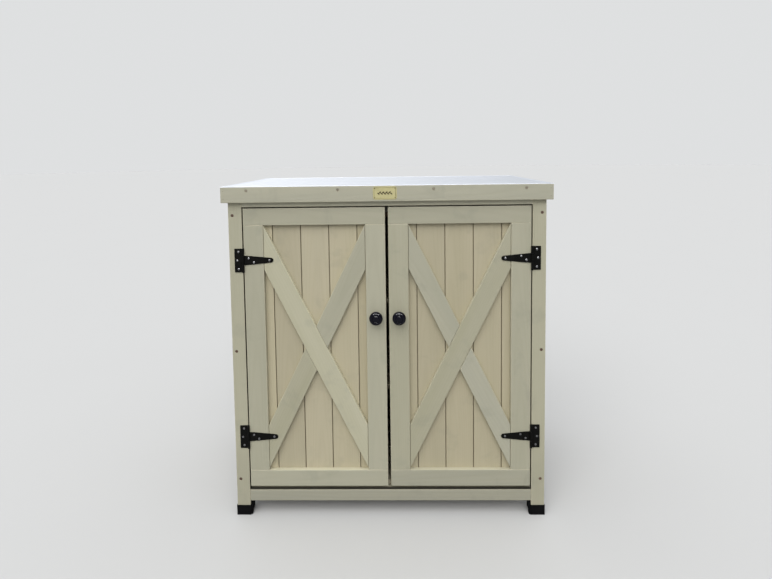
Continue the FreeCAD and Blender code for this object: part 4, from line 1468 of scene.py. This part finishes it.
class CABINET_OT_knobs(bpy.types.Operator):
    """The round knobs with their stepped crowns, necks and roses"""

    bl_idname = "cabinet.knobs"
    bl_label = "Knobs"

    def execute(self, context):
        for side in SIDES:
            node = side + "_door_knob"
            low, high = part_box(node)
            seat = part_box(side + "_door_meeting_stile")[0].y
            middle = (low + high) / 2.0
            profile = self.profile((high.x - low.x) / 2.0, seat - low.y, high.y - low.y)
            bm = bmesh.new()
            add_turned(bm, profile, Vector((middle.x, low.y, middle.z)), Y_AXIS, 96)
            make_piece(node + "_turned", bm, [node], "knob_black")
        return {"FINISHED"}

    def profile(self, radius, reach, whole):
        """The knob's outline as (radius, distance behind its front) points."""
        boss = radius * 0.50
        boss_deep = radius * 0.15
        shoulder = radius * 0.55
        shoulder_deep = radius * 0.10
        crown_back = radius * 0.50
        rim = radius * 0.985
        rim_back = radius * 0.72
        hollow = radius * 0.28
        neck = radius * 0.39
        flare = radius * 0.08
        rose = radius * 0.5
        rose_top = reach - radius * 0.166
        stud = radius * 0.139

        # The boss, the step round it, and the crown out to the widest place. Along each arc a falls from 1 to
        # 0, and b rises from 0 to 1.
        points = []
        for a, b in arc((0.0, 0.0), 1.0, 0.0, QUARTER_TURN, 10):
            points.append((boss * b, boss_deep * (1.0 - a)))
        points.append((boss + radius * 0.012, boss_deep + radius * 0.012))
        points.append((shoulder - radius * 0.008, boss_deep - radius * 0.01))
        for a, b in arc((0.0, 0.0), 1.0, 0.0, QUARTER_TURN, 12):
            deep = shoulder_deep + (crown_back - shoulder_deep) * (1.0 - a)
            points.append((shoulder + (radius - shoulder) * b, deep))

        # The rim, and its hollow back down to the neck
        points += [(radius, rim_back - radius * 0.03), (rim, rim_back)]
        for a, b in arc((0.0, 0.0), 1.0, 0.0, QUARTER_TURN, 6)[1:]:
            points.append((neck + flare + (rim - neck - flare) * a, rim_back + hollow * b))
        points += [(neck + flare * 0.3, rim_back + radius * 0.33), (neck, rim_back + radius * 0.42)]

        # The neck's foot, the rose on the stile, and the stud that goes into it
        points += [(neck, rose_top - flare), (neck + flare * 0.3, rose_top - flare * 0.3)]
        points += [(neck + flare, rose_top), (rose - radius * 0.02, rose_top + radius * 0.01)]
        points += [(rose, rose_top + radius * 0.04), (rose, reach)]
        points += [(stud, reach), (stud, whole), (0.0, whole)]
        return points


class CABINET_OT_feet(bpy.types.Operator):
    """Plastic cups on the post ends, with an upright tab on the inner side"""

    bl_idname = "cabinet.feet"
    bl_label = "Feet"

    def execute(self, context):
        for row, inward in (("front", 1.0), ("rear", -1.0)):
            node = "feet_" + row
            bm = bmesh.new()
            for low, high in solid_boxes(node):
                self.add_foot(bm, low, high, row, inward)
            make_piece(node + "_moulded", bm, [node], "foot_plastic")
        return {"FINISHED"}

    def add_foot(self, bm, low, high, row, inward):
        """One foot: a cup round the post's end, and a tab that stands up beside the post."""
        sizes = hardware()
        left = low.x < 0
        inner = high.x - sizes.foot_tab if left else low.x + sizes.foot_tab
        outer = low.x if left else high.x
        cup_low = Vector((min(inner, outer), low.y, low.z))
        cup_high = Vector((max(inner, outer), high.y, low.z + sizes.foot_height))
        verts = add_block(bm, cup_low, cup_high)
        faces = each(f for v in verts for f in v.link_faces)
        mouth = max(faces, key=lambda f: f.calc_center_median().z)
        bmesh.ops.inset_individual(bm, faces=[mouth], thickness=sizes.foot_wall)
        sunk = bmesh.ops.extrude_discrete_faces(bm, faces=[mouth])["faces"][0]
        depth = sizes.foot_height - sizes.foot_base
        bmesh.ops.translate(bm, vec=-Z_AXIS * depth, verts=list(sunk.verts))
        faces += [f for v in sunk.verts for f in v.link_faces]
        edges = each(e for f in faces if f.is_valid for e in f.edges)
        rounded(bm, sharp_edges(edges), sizes.foot_ease * 0.6, 2)
        post_low, post_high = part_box("post_" + row + ("_left" if left else "_right"))
        outside = (post_low.y if inward > 0.0 else post_high.y) + inward * sizes.tab_setback
        tab_x = sorted((inner, high.x if left else low.x))
        tab_y = sorted((outside, outside + inward * sizes.tab_depth))
        add_eased_block(bm, (tab_x[0], tab_y[0], low.z), (tab_x[1], tab_y[1], high.z), sizes.foot_ease)


class CABINET_OT_plate(bpy.types.Operator):
    """The bare notched plate on the front fascia, with its raised rim, border line, sprig and pins"""

    bl_idname = "cabinet.plate"
    bl_label = "Bare plate"

    def execute(self, context):
        low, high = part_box("bare_plate")
        dish = (high.y - low.y) * 0.35
        self.plate(low, high, dish)
        self.ornament(low, high, low.y + dish)
        self.pins(low.y)
        return {"FINISHED"}

    def plate(self, low, high, dish):
        """The plate with a hollow in each corner, dished inside its rim."""
        thickness = high.y - low.y
        rim = thickness * 1.6
        steep = math.radians(60.0)
        corners = (
            (low.x, low.z, 1, 0), (high.x, low.z, 2, 1), (high.x, high.z, 3, 2), (low.x, high.z, 4, 3),
        )
        outline = []
        for x, z, start, end in corners:
            hollow = arc((x, z), hardware().plate_notch, start * QUARTER_TURN, end * QUARTER_TURN, 7)
            outline += [Vector((a, high.y, b)) for a, b in hollow]
        bm = bmesh.new()
        add_prism(bm, outline, -Y_AXIS * thickness)
        bmesh.ops.recalc_face_normals(bm, faces=bm.faces)
        face = min(bm.faces, key=lambda f: f.calc_center_median().y)
        bmesh.ops.inset_individual(bm, faces=[face], thickness=rim)
        bmesh.ops.inset_individual(bm, faces=[face], thickness=dish)
        bmesh.ops.translate(bm, vec=Y_AXIS * dish, verts=list(face.verts))
        rounded(bm, sharp_edges(bm.edges, steep), thickness * 0.25, 2)
        make_piece("bare_plate_rimmed", bm, ["bare_plate"], "brass")

    def pins(self, seat):
        """Pins with domed heads on the plate."""
        bm = bmesh.new()
        for low, high in solid_boxes("plate_pins"):
            middle = (low + high) / 2.0
            head = (high.x - low.x) / 2.0
            shank = head * 0.6
            tall = seat - low.y
            tip = high.y - low.y
            profile = []
            for angle in (0.0, 0.4, 0.8, 1.2, QUARTER_TURN):
                profile.append((head * math.sin(angle), tall * (1.0 - math.cos(angle))))
            profile += [(head, tall), (shank, tall), (shank, tip), (0.0, tip)]
            add_turned(bm, profile, Vector((middle.x, low.y, middle.z)), Y_AXIS, 20)
        make_piece("plate_pins_domed", bm, ["plate_pins"], "brass", paint="darkened_brass")

    def ornament(self, low, high, seat):
        """A darkened border line and a plain sprig of leaves, laid thinly on the plate."""
        sizes = hardware()
        middle = (low + high) / 2.0
        corner = sizes.plate_notch
        line = sizes.line_width / 2.0
        front = seat - sizes.line_rise
        back = seat + sizes.line_rise
        west, east = low.x + sizes.line_inset, high.x - sizes.line_inset
        foot, head = low.z + sizes.line_inset, high.z - sizes.line_inset
        stem = sizes.stem_length / 2.0
        bm = bmesh.new()
        for z in (foot, head):
            add_block(bm, (west + corner, front, z - line), (east - corner, back, z + line))
        for x in (west, east):
            add_block(bm, (x - line, front, foot + corner), (x + line, back, head - corner))
        add_block(bm, (middle.x - stem, front, middle.z - line), (middle.x + stem, back, middle.z + line))

        # Leaves in turn below and above the stem
        steps = 12
        for number in range(sizes.leaf_count):
            side = 1.0 if number % 2 else -1.0
            turn = Matrix.Rotation(math.radians(-side * sizes.leaf_angle), 3, "Y")
            aside = (number - (sizes.leaf_count - 1) / 2.0) * sizes.leaf_pitch
            centre = Vector((middle.x + aside, back, middle.z + side * sizes.leaf_offset))
            leaf = []
            for step in range(steps):
                angle = WHOLE_TURN * step / steps
                along = sizes.leaf_length / 2.0 * math.cos(angle)
                across = sizes.leaf_width / 2.0 * math.sin(angle)
                leaf.append(centre + turn @ Vector((along, 0.0, across)))
            add_prism(bm, leaf, -Y_AXIS * (back - front))
        make_piece("plate_sprig", bm, [], "brass", body="case", paint="darkened_brass")


class CABINET_OT_catch(bpy.types.Operator):
    """The magnetic catch under the stop strip, and the strike plates on the doors"""

    bl_idname = "cabinet.catch"
    bl_label = "Catch"

    def execute(self, context):
        low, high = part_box("magnetic_catch")
        bm = bmesh.new()
        add_eased_block(bm, low, high, hardware().catch_ease)
        make_piece("magnetic_catch_moulded", bm, ["magnetic_catch"], "catch_plastic")
        for side in SIDES:
            node = side + "_door_strike_plate"
            low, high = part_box(node)
            bm = bmesh.new()
            add_eased_block(bm, low, high, hardware().strike_ease, 2)
            make_piece(node + "_pressed", bm, [node], "zinc_sheet")
        return {"FINISHED"}


class CABINET_OT_stage(bpy.types.Operator):
    """Pale floor, soft studio light and the camera"""

    bl_idname = "cabinet.stage"
    bl_label = "Stage"

    def execute(self, context):
        self.floor()
        self.world(context)
        self.lamps()
        self.camera(context)
        context.scene.view_settings.view_transform = "Standard"
        return {"FINISHED"}

    def floor(self):
        """A wide round floor."""
        bm = bmesh.new()
        bmesh.ops.create_circle(bm, cap_ends=True, radius=stage_settings().floor_radius, segments=96)
        mesh = bpy.data.meshes.new("floor")
        bm.to_mesh(mesh)
        bm.free()
        mesh.materials.append(floor_finish())
        floor = bpy.data.objects.new("floor", mesh)
        bpy.context.scene.collection.objects.link(floor)

    def world(self, context):
        """A soft dome, brighter overhead. Gloss mirrors a room, dark in front and bright above and behind."""
        settings = stage_settings()
        world = bpy.data.worlds.new("Studio")
        world.use_nodes = True
        tree = world.node_tree
        tree.nodes.clear()
        path = put(tree, "ShaderNodeLightPath").outputs
        x, y, z = split(tree, put(tree, "ShaderNodeTexCoord").outputs["Generated"])
        rise = sums(tree, "MAXIMUM", z, 0.0)
        gain = settings.zenith_light - settings.sky_light
        dome = sums(tree, "MULTIPLY_ADD", rise, gain, settings.sky_light)
        dome = sums(tree, "MULTIPLY", dome, sums(tree, "MULTIPLY_ADD", x, DOME_SLANT, 1.0))
        room = spread(tree, y, -0.1, 0.7, settings.mirrored, settings.mirrored_back)
        room = sums(tree, "MAXIMUM", room, smooth_step(tree, rise, 0.45, 0.9, 0.0, settings.mirrored_back))
        room = sums(tree, "MULTIPLY", room, sums(tree, "MULTIPLY_ADD", x, ROOM_SLANT, ROOM_MIDDLE))
        around = put(tree, "ShaderNodeBackground", {"Color": SKY_TONE, "Strength": dome}).outputs[0]
        gloss = put(tree, "ShaderNodeBackground", {"Color": SKY_TONE, "Strength": room}).outputs[0]
        seen = put(tree, "ShaderNodeBackground", {"Color": tuple(settings.backdrop) + (1.0,)}).outputs[0]
        lit = put(tree, "ShaderNodeMixShader", {0: path["Is Glossy Ray"], 1: around, 2: gloss}).outputs[0]
        both = put(tree, "ShaderNodeMixShader", {0: path["Is Camera Ray"], 1: lit, 2: seen}).outputs[0]
        out = tree.nodes.new("ShaderNodeOutputWorld")
        tree.links.new(both, out.inputs["Surface"])
        context.scene.world = world

    def lamps(self):
        """Small softboxes up in front, which only add highlights in gloss, and one broad even light."""
        for number, place in enumerate(SOFTBOX_PLACES):
            name = "softbox_" + str(number)
            light = bpy.data.lights.new(name, "AREA")
            light.shape = "RECTANGLE"
            light.size, light.size_y = SOFTBOX_SIZE
            light.energy = stage_settings().softbox_light
            lamp = self.add_lamp(name, light, Vector(place) - SOFTBOX_AIM)
            lamp.location = place
            lamp.visible_camera = False
            lamp.visible_diffuse = False
        light = bpy.data.lights.new("key", "SUN")
        light.angle = KEY_WIDTH
        light.energy = stage_settings().key_light
        light.color = KEY_TONE
        self.add_lamp("key", light, KEY_DIRECTION)

    def add_lamp(self, name, light, direction):
        """Adds a lamp whose light comes from a direction."""
        lamp = bpy.data.objects.new(name, light)
        lamp.rotation_mode = "QUATERNION"
        lamp.rotation_quaternion = direction.to_track_quat("Z", "Y")
        bpy.context.scene.collection.objects.link(lamp)
        return lamp

    def camera(self, context):
        """The camera where the picture was taken from, looking the same way."""
        settings = stage_settings()
        turn = math.radians(settings.turn)
        dip = math.radians(settings.dip)
        lean = math.radians(settings.lean)
        ahead = Vector((-math.sin(turn) * math.cos(dip), math.cos(turn) * math.cos(dip), -math.sin(dip)))
        aside = Vector((math.cos(turn), math.sin(turn), 0.0))
        up = aside.cross(ahead)
        right = aside * math.cos(lean) + up * math.sin(lean)
        top = up * math.cos(lean) - aside * math.sin(lean)
        data = bpy.data.cameras.new("camera")
        data.sensor_width = 36.0
        data.lens = data.sensor_width * settings.focal_pixels / settings.picture_width
        data.shift_y = -settings.slide
        camera = bpy.data.objects.new("camera", data)
        camera.rotation_mode = "QUATERNION"
        camera.rotation_quaternion = Matrix((right, top, -ahead)).transposed().to_quaternion()
        camera.location = settings.camera_place
        context.scene.collection.objects.link(camera)
        context.scene.camera = camera


PROPERTIES = {
    "cabinet_timber": CabinetTimber,
    "cabinet_hardware": CabinetHardware,
    "cabinet_colours": CabinetColours,
    "cabinet_stage": CabinetStage,
}

# In the order in which they are called
OPERATORS = (
    CABINET_OT_stage,
    CABINET_OT_case_frame,
    CABINET_OT_wall_boards,
    CABINET_OT_decks,
    CABINET_OT_top,
    CABINET_OT_fascia,
    CABINET_OT_door_frames,
    CABINET_OT_braces,
    CABINET_OT_door_boards,
    CABINET_OT_hinges,
    CABINET_OT_screws,
    CABINET_OT_knobs,
    CABINET_OT_feet,
    CABINET_OT_plate,
    CABINET_OT_catch,
)


class CABINET_PT_panel(bpy.types.Panel):
    """Lists the cabinet's pieces and the values that a user would change"""

    bl_label = "Garden storage cabinet"
    bl_idname = "CABINET_PT_panel"
    bl_space_type = "VIEW_3D"
    bl_region_type = "UI"
    bl_category = "Cabinet"

    def draw(self, context):
        for operator in OPERATORS:
            self.layout.operator(operator.bl_idname)
        for group in PROPERTIES:
            box = self.layout.box()
            for name in PROPERTIES[group].__annotations__:
                box.prop(getattr(context.scene, group), name)


def register():
    for group, kind in PROPERTIES.items():
        bpy.utils.register_class(kind)
        setattr(bpy.types.Scene, group, PointerProperty(type=kind))
    for kind in (*OPERATORS, CABINET_PT_panel):
        bpy.utils.register_class(kind)


def unregister():
    for kind in (CABINET_PT_panel, *reversed(OPERATORS)):
        bpy.utils.unregister_class(kind)
    for group, kind in PROPERTIES.items():
        delattr(bpy.types.Scene, group)
        bpy.utils.unregister_class(kind)


def main():
    register()
    for operator in OPERATORS:
        call = getattr(bpy.ops.cabinet, operator.bl_idname.split(".")[1])
        if call() != {"FINISHED"}:
            raise RuntimeError(operator.bl_label + " did not finish")


if __name__ == "__main__":
    main()
